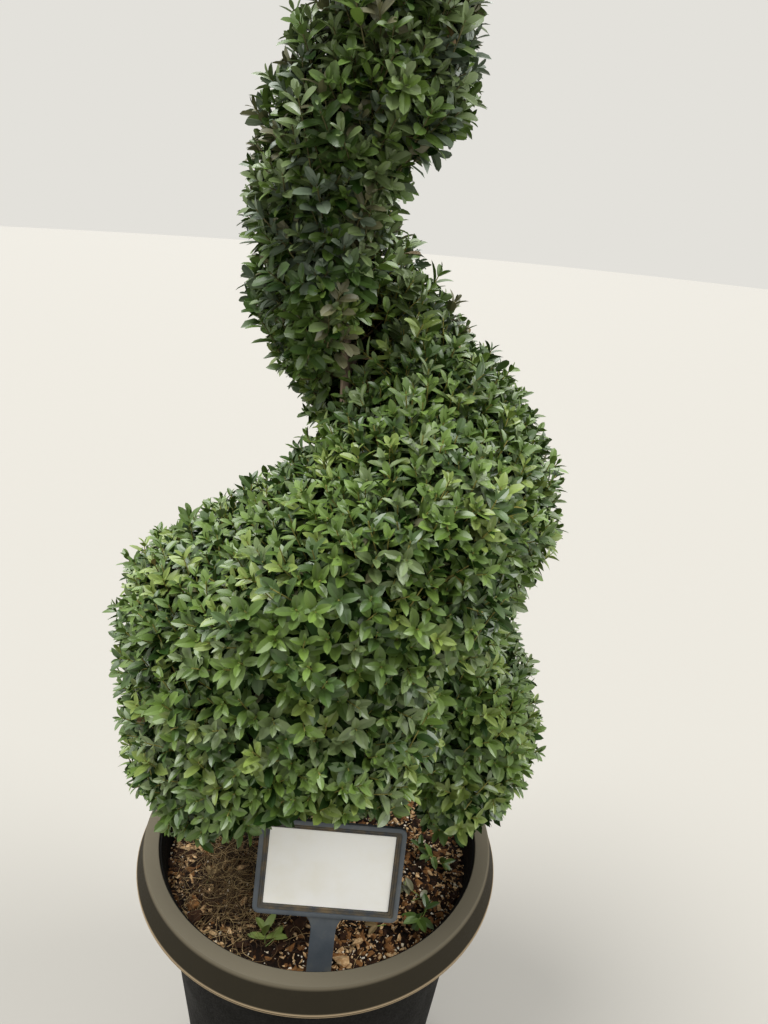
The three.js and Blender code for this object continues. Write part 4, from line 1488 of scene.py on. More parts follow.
    def branches(self, outer: Shoots, mass: int, bough: tuple[Array, Array]) -> tuple[Array, Array]:
        """Grows the branches and branchlets of one mass.

        Args:
            outer: the outer layer of shoots.
            mass: the mass' number.
            bough: its bough's start and end.

        Returns:
            The branches' and the branchlets' lines.
        """
        own = outer.mass == mass
        tips, facing = outer.tip[own], outer.outward[own]
        wide = np.linalg.norm(tips[:, :2], axis=1)
        depth = np.clip(self.hub_depth * wide, *self.hub_depths)
        inner = tips - facing * depth[:, None] - UP * self.hub_drop
        inner = inner[self.inside(inner, outer.phase[own], self.hub_margin, self.hub_share)]
        hubs = inner[thin(inner, self.hub_spacing)]
        knots = hubs[thin(hubs, self.knot_spacing)]
        carriers = np.concatenate([bough[1][None], self.trunk.axis(BRANCH_HEIGHTS)])
        ends = lerp(self.trunk.axis(knots[:, 2]), knots, self.knot_share)
        branches = self.sagging(carriers, ends, self.branch_climb, self.branch_sag, self.branch_steps)
        carriers = np.concatenate([branches[:, 2:].reshape(-1, 3), carriers])
        climb, sag, steps = self.branchlet_climb, self.branchlet_sag, self.branchlet_steps
        return branches, self.sagging(carriers, hubs, climb, sag, steps)

    def sagging(self, carriers: Array, ends: Array, climb: float, sag: float, steps: int) -> Array:
        """Draws lines from the best carriers to some ends, which sag on their way.

        Args:
            carriers: points that lines may start from.
            ends: the points they reach.
            climb: extra cost of a millimetre that a carrier lies above its end.
            sag: how far a line is pulled down, as a share of its length.
            steps: number of stretches in each line.

        Returns:
            Points of shape (lines, steps + 1, 3).
        """
        starts = carriers[nearest(ends, carriers, climb)]
        away = np.linalg.norm(ends - starts, axis=1, keepdims=True)
        return bent(starts, lerp(starts, ends, 0.5) - UP * sag * away, ends, steps)

    def inside(self, points: Array, phase: Array, margin: float, share: float) -> Array:
        """Tells which points lie within the band near some phases.

        Args:
            points: the points, of shape (count, 3).
            phase: the phase near which each lies.
            margin: least distance above the band's lower edge and below its upper edge.
            share: the part of the band's radius that counts as inside.

        Returns:
            True for each point that lies inside.
        """
        z = points[:, 2]
        across = points[:, 0] - self.crown.shift(z)
        here = phase + wrapped(np.degrees(np.arctan2(points[:, 1], across)) - phase)
        low, high = self.crown.band(here)
        within = np.hypot(across, points[:, 1]) < share * self.crown.radius(here, z)
        return (z > low + margin) & (z < high - margin) & within

    def stems(self, shoots: Shoots, mass: int, carriers: Array) -> Array:
        """Joins each shoot of a mass to the branchlet it grows on.

        Args:
            shoots: one layer of shoots.
            mass: the mass' number.
            carriers: points on its branchlets.

        Returns:
            Lines from the branchlets to the shoots' tips.
        """
        mine = shoots.chosen(shoots.mass == mass)
        back = mine.reach[:, None] * np.array([1.0, 0.5, 0.0])[None]
        leafy = mine.place(back)
        base = leafy[:, 0]
        feet = carriers[nearest(base, carriers, self.stem_climb)]
        away = np.linalg.norm(base - feet, axis=1, keepdims=True)
        pull = base - mine.tangent(back)[:, 0] * np.minimum(away * self.stem_pull, self.longest_pull)
        return np.concatenate([bent(feet, pull, base, self.stem_steps)[:, :-1], leafy], axis=1)

    def build(self) -> None:
        """Makes the leaves and twigs of every mass."""
        self.materials = {tint: tint.value.material() for tint in TINTS}
        green, olive = GREEN_TWIG.material(), OLIVE_TWIG.material()
        brown, bark = BROWN_TWIG.material(), BARK.material()
        layers = [self.shoots(layer) for layer in self.layers]
        for shoots in layers:
            LOG.info("layer at %g mm: %d shoots", shoots.layer.highest, len(shoots.reach))
        sets = [self.leaves(shoots) for shoots in layers]
        leaves = {key: np.concatenate([one[key] for one in sets]) for key in sets[0]}
        self.shapes = LeafShapes().build()
        self.sprays = LeafTree()
        boughs = self.boughs()
        limbs = []
        for mass, bough in enumerate(boughs):
            node = f"foliage_{mass + 1:02d}"
            own = {key: value[leaves["mass"] == mass] for key, value in leaves.items()}
            add_piece(f"leaves_{mass + 1:02d}", self.spray_mesh(own), "leaves", node)
            branches, branchlets = self.branches(layers[0], mass, bough)
            carriers = branchlets[:, 1:].reshape(-1, 3)
            carriers = np.concatenate([carriers, self.trunk.axis(STEM_HEIGHTS)])
            stems = np.concatenate([self.stems(shoots, mass, carriers) for shoots in layers])
            low = mass < self.low_masses
            foot = self.branch_radius if low else self.upper_branch_radius
            tubes = (
                (stems, 1.0, self.stem_radii, green if low else olive),
                (branchlets, foot, self.branchlet_shares, brown),
                (branches, foot, self.branch_shares, brown),
            )
            parts = [
                self.tubes.run(lines, self.taper(lines, thick * shares[0], thick * shares[1]), sides, skin)
                for sides, (lines, thick, shares, skin) in zip(self.tube_sides, tubes)
            ]
            add_piece(f"twigs_{mass + 1:02d}", joined("twigs", parts), "bark", node)
            start, end = bough[0][None], bough[1][None]
            limbs.append(bent(start, lerp(start, end, 0.5), end, self.bough_steps))
        limbs = np.concatenate(limbs)
        tubes = self.tubes.run(limbs, self.taper(limbs, *self.bough_radii), self.bough_sides, bark)
        nodes = [f"bough_{number:02d}" for number in range(1, len(boughs) + 1)]
        add_piece("limbs", tubes, "bark", *nodes)

    def taper(self, lines: Array, foot: float, tip: float) -> Array:
        """Returns radii that narrow evenly along lines of one length."""
        radii = np.linspace(foot, tip, lines.shape[1])
        return np.broadcast_to(radii, lines.shape[:2]).copy()

    def spray_mesh(self, own: dict[str, Array]) -> bpy.types.Mesh:
        """Makes one mass' leaves.

        Args:
            own: the leaves' places, facings, sizes, kinds and tints.

        Returns:
            One mesh with all leaves.
        """
        points = bpy.data.meshes.new("points")
        points.vertices.add(len(own["place"]))
        points.vertices.foreach_set("co", (own["place"] * MM).astype(np.float32).ravel())
        columns = (
            ("facing", "QUATERNION", "value", own["facing"]),
            ("size", "FLOAT_VECTOR", "vector", own["size"] * MM),
        )
        for name, kind, item, values in columns:
            column = points.attributes.new(name, kind, "POINT")
            column.data.foreach_set(item, values.astype(np.float32).ravel())
        for name in ("kind", "tint"):
            column = points.attributes.new(name, "INT", "POINT")
            column.data.foreach_set("value", own[name].astype(np.int32))
        values = {tint.name: material for tint, material in self.materials.items()}
        return self.sprays.grow(points, {"Shapes": self.shapes, **values})


@dataclass
class Trunk:
    """The trunk with fissured bark and a root flare that goes into the soil."""

    line: TrunkLine
    sides: int = 30
    ring_step: float = 4.0
    sunk: float = 10.0
    buttresses: int = 5
    buttress_depth: float = 0.45
    fissure: float = 0.75
    furrow_width: float = 3.2
    furrow_length: float = 34.0
    knot: float = 0.9
    knot_width: float = 0.9
    knot_length: float = 26.0
    knot_shift: float = 50.0
    smooth_radius: float = 9.0

    def build(self) -> None:
        """Makes the trunk."""
        line = self.line
        heights = np.arange(line.foot - self.sunk, line.top, self.ring_step)
        heights = np.append(heights, line.top)
        angles = np.linspace(0, math.tau, self.sides, endpoint=False)
        rings = []
        for z, centre in zip(heights, line.axis(heights)):
            above = max(z - line.foot, 0.0)
            flare = line.flare * math.exp(-above / line.flare_height)
            radius = float(line.radius(np.float64(z)))
            ring = []
            for angle in angles:
                reach = radius + flare * (1 + self.buttress_depth * math.cos(angle * self.buttresses + 1))
                reach += self.bark(angle, z, radius)
                ring.append(centre + np.array([reach * math.cos(angle), reach * math.sin(angle), 0]))
            rings.append(np.array(ring))
        mesh = mesh_of("trunk", *capped(rings))
        mesh.materials.append(BARK.material())
        add_piece("trunk_bark", mesh, "bark", "trunk")

    def bark(self, angle: float, z: float, radius: float) -> float:
        """Returns the bark's relief, which runs in long furrows.

        Args:
            angle: angle round the trunk, in radians.
            z: height in millimetres.
            radius: the trunk's radius there.

        Returns:
            How far the bark stands out, in millimetres.
        """
        side = (math.cos(angle), math.sin(angle))
        across = Vector((*(part * self.furrow_width for part in side), z / self.furrow_length))
        knots = Vector((*(part * self.knot_width for part in side), z / self.knot_length + self.knot_shift))
        furrow = abs(noise.noise(across)) * 2 - 0.5
        relief = self.fissure * furrow + self.knot * noise.noise(knots)
        return min(1.0, radius / self.smooth_radius) * relief


def soften(profile: list[Pair], size: float, steps: int = 3) -> list[Pair]:
    """Rounds every corner of a profile but its ends.

    Args:
        profile: radius and height of each corner.
        size: how far from the corner the rounding starts.
        steps: stretches in each rounding.

    Returns:
        The rounded profile.
    """
    points = [profile[0]]
    for before, here, after in zip(profile, profile[1:], profile[2:]):
        here_at = np.array(here)
        towards = []
        for other in (before, after):
            step = np.array(other) - here_at
            far = float(np.linalg.norm(step))
            towards.append(here_at + step / far * min(size, far * 0.45))
        for share in np.linspace(0, 1, steps + 1):
            place = (1 - share) ** 2 * towards[0] + 2 * share * (1 - share) * here_at + share**2 * towards[1]
            points.append((float(place[0]), float(place[1])))
    points.append(profile[-1])
    return points


def lathe(name: str, profile: list[Pair], sides: int) -> bpy.types.Mesh:
    """Turns a profile whose ends lie on the axis into a closed mesh.

    Args:
        name: the mesh's name.
        profile: radius and height of each point, outside first, from the bottom up.
        sides: sides round the axis.

    Returns:
        The mesh.
    """
    angles = np.linspace(0, math.tau, sides, endpoint=False)
    ring = np.stack([np.cos(angles), np.sin(angles)], axis=1)
    rows = [np.column_stack([ring * r, np.full(sides, z)]) for r, z in profile[1:-1]]
    points = np.concatenate([*rows, [[0, 0, profile[0][1]], [0, 0, profile[-1][1]]]])
    low, high, last = len(points) - 2, len(points) - 1, (len(rows) - 1) * sides
    faces = []
    for first in range(0, last, sides):
        faces += between(first, first + sides, sides)
    for side in range(sides):
        after = (side + 1) % sides
        faces.append((low, after, side))
        faces.append((high, last + side, last + after))
    return mesh_of(name, points, faces)


@dataclass
class PotPlastic:
    """Black polyethylene, blown in a mould: a dull sheen under dust, and pale bands on the bead's two ridges.
    Tones go by height: the black body is painted darker as painted shade, the flange's top is lighter with
    dust and painted sheen, and the inner wall is painted near-black as painted shade.

    Heights and distances from the axis are in metres, as the shader's object coordinates are.
    """

    # body: the plastic's black made darker still as painted shade; flange: dust with painted sheen; inside:
    # painted shade on the inner wall.
    body: str = "#0d0d0b"
    skirt: str = "#29251c"
    bead: str = "#8f7e64"
    flange: str = "#5e584a"
    wear: str = "#5c5546"
    inside: str = "#100f0d"
    dust: str = "#6f6550"
    shine: float = 0.07
    zone_heights: Pair = (0.32, 0.3702)
    inner_wall: Pair = (0.1995, 0.1975)
    below_brim: Pair = (0.3696, 0.368)
    above_floor: Pair = (0.0, 0.02)
    dusty: Pair = (0.2, 0.42)
    most_dust: float = 0.035
    dulled: Pair = (0.15, 0.4)
    roughness: Pair = (0.6, 0.85)
    cloud: float = 45.0
    speck: float = 2.5
    relief: float = 0.15
    relief_strength: float = 0.35

    def tones(self) -> tuple[tuple[float, str], ...]:
        """Returns the tone at each share of the zones' height, the two ends first: the body darkened as
        painted shade, pale bands on the bead's ridges, the skirt, the worn rim and the flange, whose tone is
        dust with painted sheen.
        """
        return (
            (0.0, self.body),
            (1.0, self.flange),
            (0.31, self.body),
            (0.33, self.bead),
            (0.35, self.bead),
            (0.36, self.skirt),
            (0.37, self.skirt),
            (0.38, self.bead),
            (0.4, self.bead),
            (0.42, self.skirt),
            (0.9, self.skirt),
            (0.96, self.wear),
            (0.985, self.flange),
        )

    def material(self) -> bpy.types.Material:
        """Returns the pot's material: tones by height, with painted shade on the body and painted sheen on
        the flange, dust by place, and painted shade on the inner wall.
        """
        material = new_material("black polyethylene pot", {"Specular IOR Level": self.shine})
        tree = material.node_tree
        multiply = {"operation": "MULTIPLY"}
        place = add_node(tree, "ShaderNodeTexCoord").outputs["Object"]
        parts = add_node(tree, "ShaderNodeSeparateXYZ", inputs={0: place}).outputs
        flat = add_node(tree, "ShaderNodeCombineXYZ", inputs={0: parts["X"], 1: parts["Y"]})
        out = add_node(tree, "ShaderNodeVectorMath", {"operation": "LENGTH"}, {0: flat.outputs[0]})
        cloud = add_node(
            tree,
            "ShaderNodeTexNoise",
            inputs={"Vector": place, "Scale": per_metre(self.cloud), "Detail": 8.0, "Roughness": 0.7},
        )
        specks = add_node(
            tree,
            "ShaderNodeTexNoise",
            inputs={"Vector": place, "Scale": per_metre(self.speck), "Detail": 3.0},
        ).outputs["Fac"]
        dirt = add_node(tree, "ShaderNodeMath", multiply, {0: cloud.outputs["Fac"], 1: specks}).outputs[0]
        whole = (0.0, 1.0)
        ranges = {
            "zone": (parts["Z"], self.zone_heights, whole),
            "inner": (out.outputs["Value"], self.inner_wall, whole),
            "low": (parts["Z"], self.below_brim, whole),
            "high": (parts["Z"], self.above_floor, whole),
            "dusty": (dirt, self.dusty, (0.0, self.most_dust)),
            "rough": (dirt, self.dulled, self.roughness),
        }
        shares = {}
        for name, (value, (start, end), (least, most)) in ranges.items():
            limits = {"Value": value, "From Min": start, "From Max": end, "To Min": least, "To Max": most}
            shares[name] = add_node(tree, "ShaderNodeMapRange", inputs=limits).outputs[0]
        # The inner wall, between the floor and the brim, is painted near-black as painted shade.
        painted_shade_inside = shares["inner"]
        for name in ("low", "high"):
            painted_shade_inside = add_node(tree, "ShaderNodeMath", multiply, {0: painted_shade_inside, 1: shares[name]}).outputs[0]
        zones = add_node(tree, "ShaderNodeValToRGB", inputs={0: shares["zone"]})
        fill_ramp(zones.color_ramp, self.tones())
        colour = zones.outputs[0]
        for share, tone in ((shares["dusty"], self.dust), (painted_shade_inside, self.inside)):
            layered = {0: share, 6: colour, 7: linear(tone)}
            colour = add_node(tree, "ShaderNodeMix", {"data_type": "RGBA"}, layered).outputs[2]
        bump = add_node(
            tree,
            "ShaderNodeBump",
            inputs={"Height": specks, "Distance": self.relief * MM, "Strength": self.relief_strength},
        )
        feed(
            tree.nodes["Principled BSDF"],
            {"Base Color": colour, "Roughness": shares["rough"], "Normal": bump.outputs[0]},
        )
        return material


@dataclass
class Pot:
    """The nursery pot: a tapered wall under a flange, a hanging skirt and a beaded edge."""

    height: float = 370.0
    top_radius: float = 195.0
    taper: float = 0.0864
    wall: float = 3.0
    sides: int = 180
    notches: int = 6
    notch_width: float = 34.0
    notch_height: float = 14.0
    notch_reach: float = 12.0
    arch: tuple[Pair, ...] = (
        (-1, -0.3), (1, -0.3), (1, 0.72), (0.86, 0.9), (0.6, 1), (-0.6, 1), (-0.86, 0.9), (-1, 0.72),
    )
    rounding: float = 0.7
    sharp_angle: float = 40.0

    def wall_radius(self, z: float) -> float:
        """Returns the wall's outer radius at a height."""
        return self.top_radius - self.taper * (self.height - z)

    def profile(self) -> list[Pair]:
        """Returns the pot's section from the middle of its underside round to its floor."""
        wall, out = self.wall, self.wall_radius
        foot = [(0, 0), (out(0) - 6, 0), (out(6), 6)]
        outside = foot + [(out(366), 366), (211, 366), (220, 342), (221, 336.2)]
        bead = [(223.4, 336), (224.9, 337.1), (223.9, 338.2), (225, 339.6), (223.2, 341.4)]
        flange = [(216, 367), (214, 370), (198, 370)]
        inside = [(out(354) - wall, 354), (out(9.5) - wall, 9.5), (out(3.5) - 3 * wall, 3.5), (0, 3.5)]
        return outside + bead + flange + inside

    def build(self) -> None:
        """Makes the pot and cuts its drainage notches."""
        mesh = lathe("pot", soften(self.profile(), self.rounding), self.sides)
        mesh.materials.append(PotPlastic().material())
        pot = shown("pot_plastic", mesh)
        cutters = shown("cutters", self.cutter_mesh())
        cut = pot.modifiers.new("notches", "BOOLEAN")
        cut.object = cutters
        cut.solver = "EXACT"
        result = evaluated(pot)
        bpy.data.objects.remove(cutters)
        result.shade_smooth()
        result.set_sharp_from_angle(angle=math.radians(self.sharp_angle))
        add_piece("pot_plastic", result, "pot", "pot")

    def cutter_mesh(self) -> bpy.types.Mesh:
        """Returns the blocks that cut the notches, with arched tops."""
        foot = self.wall_radius(0)
        blocks = []
        for number in range(self.notches):
            turn = (number + 0.5) * math.tau / self.notches
            ahead = np.array([math.cos(turn), math.sin(turn), 0])
            side = np.array([-math.sin(turn), math.cos(turn), 0]) * self.notch_width / 2
            shape = np.array([side * across + UP * up * self.notch_height for across, up in self.arch])
            ends = (foot - self.notch_reach, foot + self.notch_reach)
            blocks.append(capped([ahead * reach + shape for reach in ends]))
        return mesh_of("cutters", *merged(blocks), smooth=False)


@dataclass(frozen=True)
class Crumb:
    """One kind of thing strewn on the soil, with sizes in millimetres."""

    name: str
    finish: PatternFinish
    box: Triple
    density: float
    smallest: float
    largest: float
    tilt: float
    seed: int
    corners: int = 9


@dataclass
class Soil:
    """Potting mix with bark chips, perlite and a mat of dry roots on its surface."""

    pot: Pot
    top: float = 334.0
    edge_height: float = 327.0
    flat_radius: float = 34.0
    uneven: float = 2.5
    wave: float = 31.0
    sides: int = 144
    rings: int = 60
    lobes: tuple[int, int] = (3, 5)
    grains: tuple[Triple, ...] = ((11.0, 3.0, 1.3), (4.0, 9.0, 0.7))
    calm_edge: float = 8.0
    surface_gap: float = 0.1
    wall_gap: float = 0.4
    wall_heights: Row = (250.0, 120.0, 10.2)
    floor_height: float = 4.2
    foot_share: float = 0.96
    cover: float = 0.75
    cover_change: float = 0.9
    patch: float = 38.0
    bareness: float = 0.72
    mat_angle: float = -152.0
    mat_sides: Change = Change(0.0, 1.0, 75.0, -25.0)
    mat_inside: Change = Change(0.0, 1.0, 55.0, 30.0)
    mat_outside: Change = Change(0.0, 1.0, 185.0, -25.0)
    # The larger pieces of bark and wood.
    splinter: Triple = (1.0, 0.3, 0.2)
    chunk: Triple = (1.0, 0.72, 0.4)
    splinter_length: float = 28.0
    chip_tilt: float = 0.2
    chip_lift: float = 0.2
    chip_corners: int = 12
    # The root mat: how many of each kind, and how widely they stray from its middle.
    roots_of: tuple[tuple[int, TwigFinish, float], ...] = (
        (380, OLD_ROOT, 1.0),
        (460, DRY_ROOT, 1.0),
        (330, PALE_ROOT, 1.0),
        (50, PALE_ROOT, 2.0),
    )
    root_steps: int = 9
    root_angles: Pair = (-150.0, 26.0)
    root_radii: Pair = (125.0, 30.0)
    root_limits: Pair = (50.0, 172.0)
    root_edge: float = 182.0
    root_curl: float = 0.24
    root_wander: float = 0.2
    root_lengths: Pair = (12.0, 50.0)
    root_lifts: Pair = (0.6, 8.0)
    root_rest: float = 1.0
    root_arch: Pair = (0.35, 0.65)
    root_thickness: Pair = (0.13, 0.3)
    crumbs: tuple[Crumb, ...] = (
        Crumb("wet_chips", WET_BARK, (1.0, 0.55, 0.22), 7000, 11.0, 24.0, 0.35, 2),
        Crumb("brown_chips", BROWN_BARK, (1.0, 0.5, 0.2), 9000, 9.0, 20.0, 0.45, 3),
        Crumb("tan_chips", TAN_BARK, (1.0, 0.42, 0.2), 12000, 7.0, 20.0, 0.5, 4),
        Crumb("brown_crumbs", BROWN_BARK, (1.0, 0.6, 0.4), 22000, 3.0, 7.5, 0.8, 5),
        Crumb("tan_crumbs", TAN_BARK, (1.0, 0.6, 0.4), 30000, 3.0, 7.5, 0.8, 6),
        Crumb("perlite", PERLITE, (1.0, 0.7, 0.55), 17000, 2.5, 6.5, 0.9, 7),
    )
    pieces: dict[PatternFinish, tuple[tuple[float, float, float, float], ...]] = field(
        default_factory=lambda: {
            TAN_BARK: (
                (-164, -13, 42, 5), (-111, -34, 31, 70), (-116, -130, 15, 20), (-81, -87, 15, 60),
                (-154, -114, 17, 130), (-90, -41, 17, 30), (60, -128, 19, 35), (42, -150, 24, 160),
            ),
            BROWN_BARK: ((-138, -96, 18, 10), (28, -152, 29, 80), (96, -132, 18, 140), (-140, -20, 20, 60)),
            WET_BARK: ((-73, -145, 33, 15), (-20, -128, 24, 70), (-132, -112, 26, 120), (-8, -118, 27, 20)),
        }
    )

    def height(self, radius: Array, angle: Array) -> Array:
        """Returns the soil's height at a radius and angle."""
        edge = self.pot.wall_radius(self.edge_height) - self.pot.wall
        share = np.clip((radius - self.flat_radius) / (edge - self.flat_radius), 0, 1)
        few, many = self.lobes
        swell = np.sin(few * angle + 1) + np.sin(many * angle + radius / self.wave)
        return lerp(self.top, self.edge_height, share) + self.uneven * swell * np.sin(math.pi * share)

    def crumbly(self, x: float, y: float) -> float:
        """Returns the small unevenness of the surface at a place."""
        return sum(high * noise.noise(Vector((x / size, y / size, at))) for size, at, high in self.grains)

    def skin(self, inner: int, outer: int) -> list[tuple[int, ...]]:
        """Returns the faces between two rings, each from its inner corner, as the crumbs depend on that."""
        return [face[3:] + face[:3] for face in between(outer, inner, self.sides)]

    def surface(self) -> tuple[Array, list]:
        """Returns the points and faces of the soil's upper surface."""
        edge = self.pot.wall_radius(self.edge_height) - self.pot.wall - self.surface_gap
        radii = np.linspace(edge / self.rings, edge, self.rings)
        angles = np.linspace(0, math.tau, self.sides, endpoint=False)
        points = []
        for radius in radii:
            calm = min(1.0, (edge - radius) / self.calm_edge)
            for angle in angles:
                x, y = radius * math.cos(angle), radius * math.sin(angle)
                points.append((x, y, float(self.height(radius, angle)) + calm * self.crumbly(x, y)))
        points.append((0.0, 0.0, self.top))
        faces = []
        for first in range(0, (self.rings - 1) * self.sides, self.sides):
            faces += self.skin(first, first + self.sides)
        faces += [(len(points) - 1, side, (side + 1) % self.sides) for side in range(self.sides)]
        return np.array(points), faces

    def build(self, tubes: TubeTree) -> None:
        """Makes the soil and everything that lies on it.

        Args:
            tubes: the tree that makes the roots round.
        """
        points, faces = self.surface()
        self.ground(points, faces)
        scatter = ScatterTree()
        for crumb in self.crumbs:
            cover = mesh_of("cover", points, faces)
            loose = cover.attributes.new("loose", "FLOAT", "POINT")
            loose.data.foreach_set("value", self.loose(points, crumb).astype(np.float32))
            values = {
                "Shapes": self.shards(crumb),
                "Density": float(crumb.density),
                "Smallest": crumb.smallest * MM,
                "Largest": crumb.largest * MM,
                "Tilt": crumb.tilt,
                "Seed": crumb.seed,
                "Material": crumb.finish.material(),
            }
            mesh = scatter.grow(cover, values)
            mesh.shade_flat()
            add_piece(crumb.name, mesh, "soil")
        self.roots(tubes)
        self.lumps()

    def ground(self, points: Array, faces: list) -> None:
        """Closes the soil below its surface and shows it."""
        first = (self.rings - 1) * self.sides
        rim = points[first : first + self.sides]
        rows = [points]
        for z in self.wall_heights:
            radius = self.pot.wall_radius(z) - self.pot.wall - self.wall_gap
            scale = radius / np.linalg.norm(rim[:, :2], axis=1, keepdims=True)
            rows.append(np.column_stack([rim[:, :2] * scale, np.full(self.sides, z)]))
        low = np.full(self.sides, self.floor_height)
        rows.append(np.column_stack([rows[-1][:, :2] * self.foot_share, low]))
        starts = [first] + [len(points) + number * self.sides for number in range(len(rows) - 1)]
        middle = starts[-1] + self.sides
        rows.append(np.array([[0.0, 0.0, self.floor_height]]))
        faces = list(faces)
        for upper, lower in zip(starts, starts[1:]):
            faces += self.skin(upper, lower)
        for side in range(self.sides):
            faces.append((middle, starts[-1] + (side + 1) % self.sides, starts[-1] + side))
        mesh = mesh_of("potting_mix", np.concatenate(rows), faces)
        mesh.materials.append(POTTING_MIX.material())
        add_piece("potting_mix", mesh, "soil", "soil")

    def loose(self, points: Array, crumb: Crumb) -> Array:
        """Returns how many crumbs lie at each point: fewer under the root mat and by the trunk."""
        angle = np.degrees(np.arctan2(points[:, 1], points[:, 0]))
        radius = np.hypot(points[:, 0], points[:, 1])
        away = np.abs(wrapped(angle - self.mat_angle))
        matted = self.mat_sides.at(away) * self.mat_inside.at(radius) * self.mat_outside.at(radius)
        places = (points[:, :2] / self.patch).tolist()
        patch = np.array([noise.noise(Vector((x, y, crumb.seed))) for x, y in places])
        return np.clip((self.cover + self.cover_change * patch) * (1 - self.bareness * matted), 0, 1)

    def shards(self, crumb: Crumb) -> bpy.types.Collection:
        """Returns angular lumps of length one in the proportions of a crumb."""
        shapes = bpy.data.collections.new(crumb.name)
        rng = np.random.default_rng(crumb.seed)
        for number in range(5):
            lump = bmesh.new()
            add_hull(lump, (unit(rng.normal(size=(crumb.corners, 3))) * np.array(crumb.box) / 2).tolist())
            mesh = mesh_from("shard", lump)
            shapes.objects.link(bpy.data.objects.new(f"{crumb.name}_{number}", mesh))
        return shapes

    def lumps(self) -> None:
        """Lays down the few larger pieces of bark and wood."""
        rng = np.random.default_rng(LUMP_SEED)
        meshes = []
        for finish, places in self.pieces.items():
            whole = bmesh.new()
            for x, y, length, heading in places:
                slim = self.splinter if length > self.splinter_length else self.chunk
                turn = Matrix.Rotation(math.radians(heading), 4, "Z")
                turn = turn @ Matrix.Rotation(rng.uniform(-self.chip_tilt, self.chip_tilt), 4, "Y")
                ground = float(self.height(math.hypot(x, y), math.atan2(y, x)))
                low = ground + self.chip_lift * slim[2] * length
                spread = unit(rng.normal(size=(self.chip_corners, 3))) * np.array(slim) * length / 2
                centre = Vector((x, y, low))
                add_hull(whole, [(centre + turn @ Vector(corner)) * MM for corner in spread.tolist()])
            mesh = mesh_from("lumps", whole)
            mesh.materials.append(finish.material())
            meshes.append(mesh)
        add_piece("large_chips", joined("large_chips", meshes), "soil")

    def roots(self, tubes: TubeTree) -> None:
        """Lays a mat of dry roots over the soil at the left front."""
        rng = np.random.default_rng(ROOT_SEED)
        steps = self.root_steps
        parts = []
        for count, finish, spread in self.roots_of:
            angle = np.radians(rng.normal(self.root_angles[0], self.root_angles[1] * spread, count))
            radius = rng.normal(self.root_radii[0], self.root_radii[1] * spread, count)
            radius = np.clip(radius, *self.root_limits)
            place = np.stack([radius * np.cos(angle), radius * np.sin(angle)], axis=1)
            heading = rng.uniform(0, math.tau, count)
            curl = rng.normal(0, self.root_curl, count)
            stride = rng.uniform(*self.root_lengths, count) / steps
            lift = rng.uniform(*self.root_lifts, count)
            lines = np.zeros((count, steps + 1, 3))
            for step in range(steps + 1):
                far = np.hypot(place[:, 0], place[:, 1])
                ground = self.height(far, np.arctan2(place[:, 1], place[:, 0]))
                arch = self.root_arch[0] + self.root_arch[1] * math.sin(math.pi * step / steps)
                lines[:, step, :2] = place
                lines[:, step, 2] = ground + self.root_rest + lift * arch
                heading = heading + curl + rng.normal(0, self.root_wander, count)
                place = place + np.stack([np.cos(heading), np.sin(heading)], axis=1) * stride[:, None]
                far = np.hypot(place[:, 0], place[:, 1])
                place = place * np.minimum(1, self.root_edge / np.maximum(far, 1))[:, None]
            radii = np.broadcast_to(rng.uniform(*self.root_thickness, (count, 1)), lines.shape[:2]).copy()
            parts.append(tubes.run(lines, radii, 3, finish.material()))
        add_piece("dry_roots", joined("dry_roots", parts), "soil")


@dataclass(frozen=True)
class Sprig:
    """A sprig that was clipped off and fell on the soil, with sizes in millimetres."""

    x: float
    y: float
    heading: float
    rise: float
    pairs: int
    leaf: float
    tint: Tint


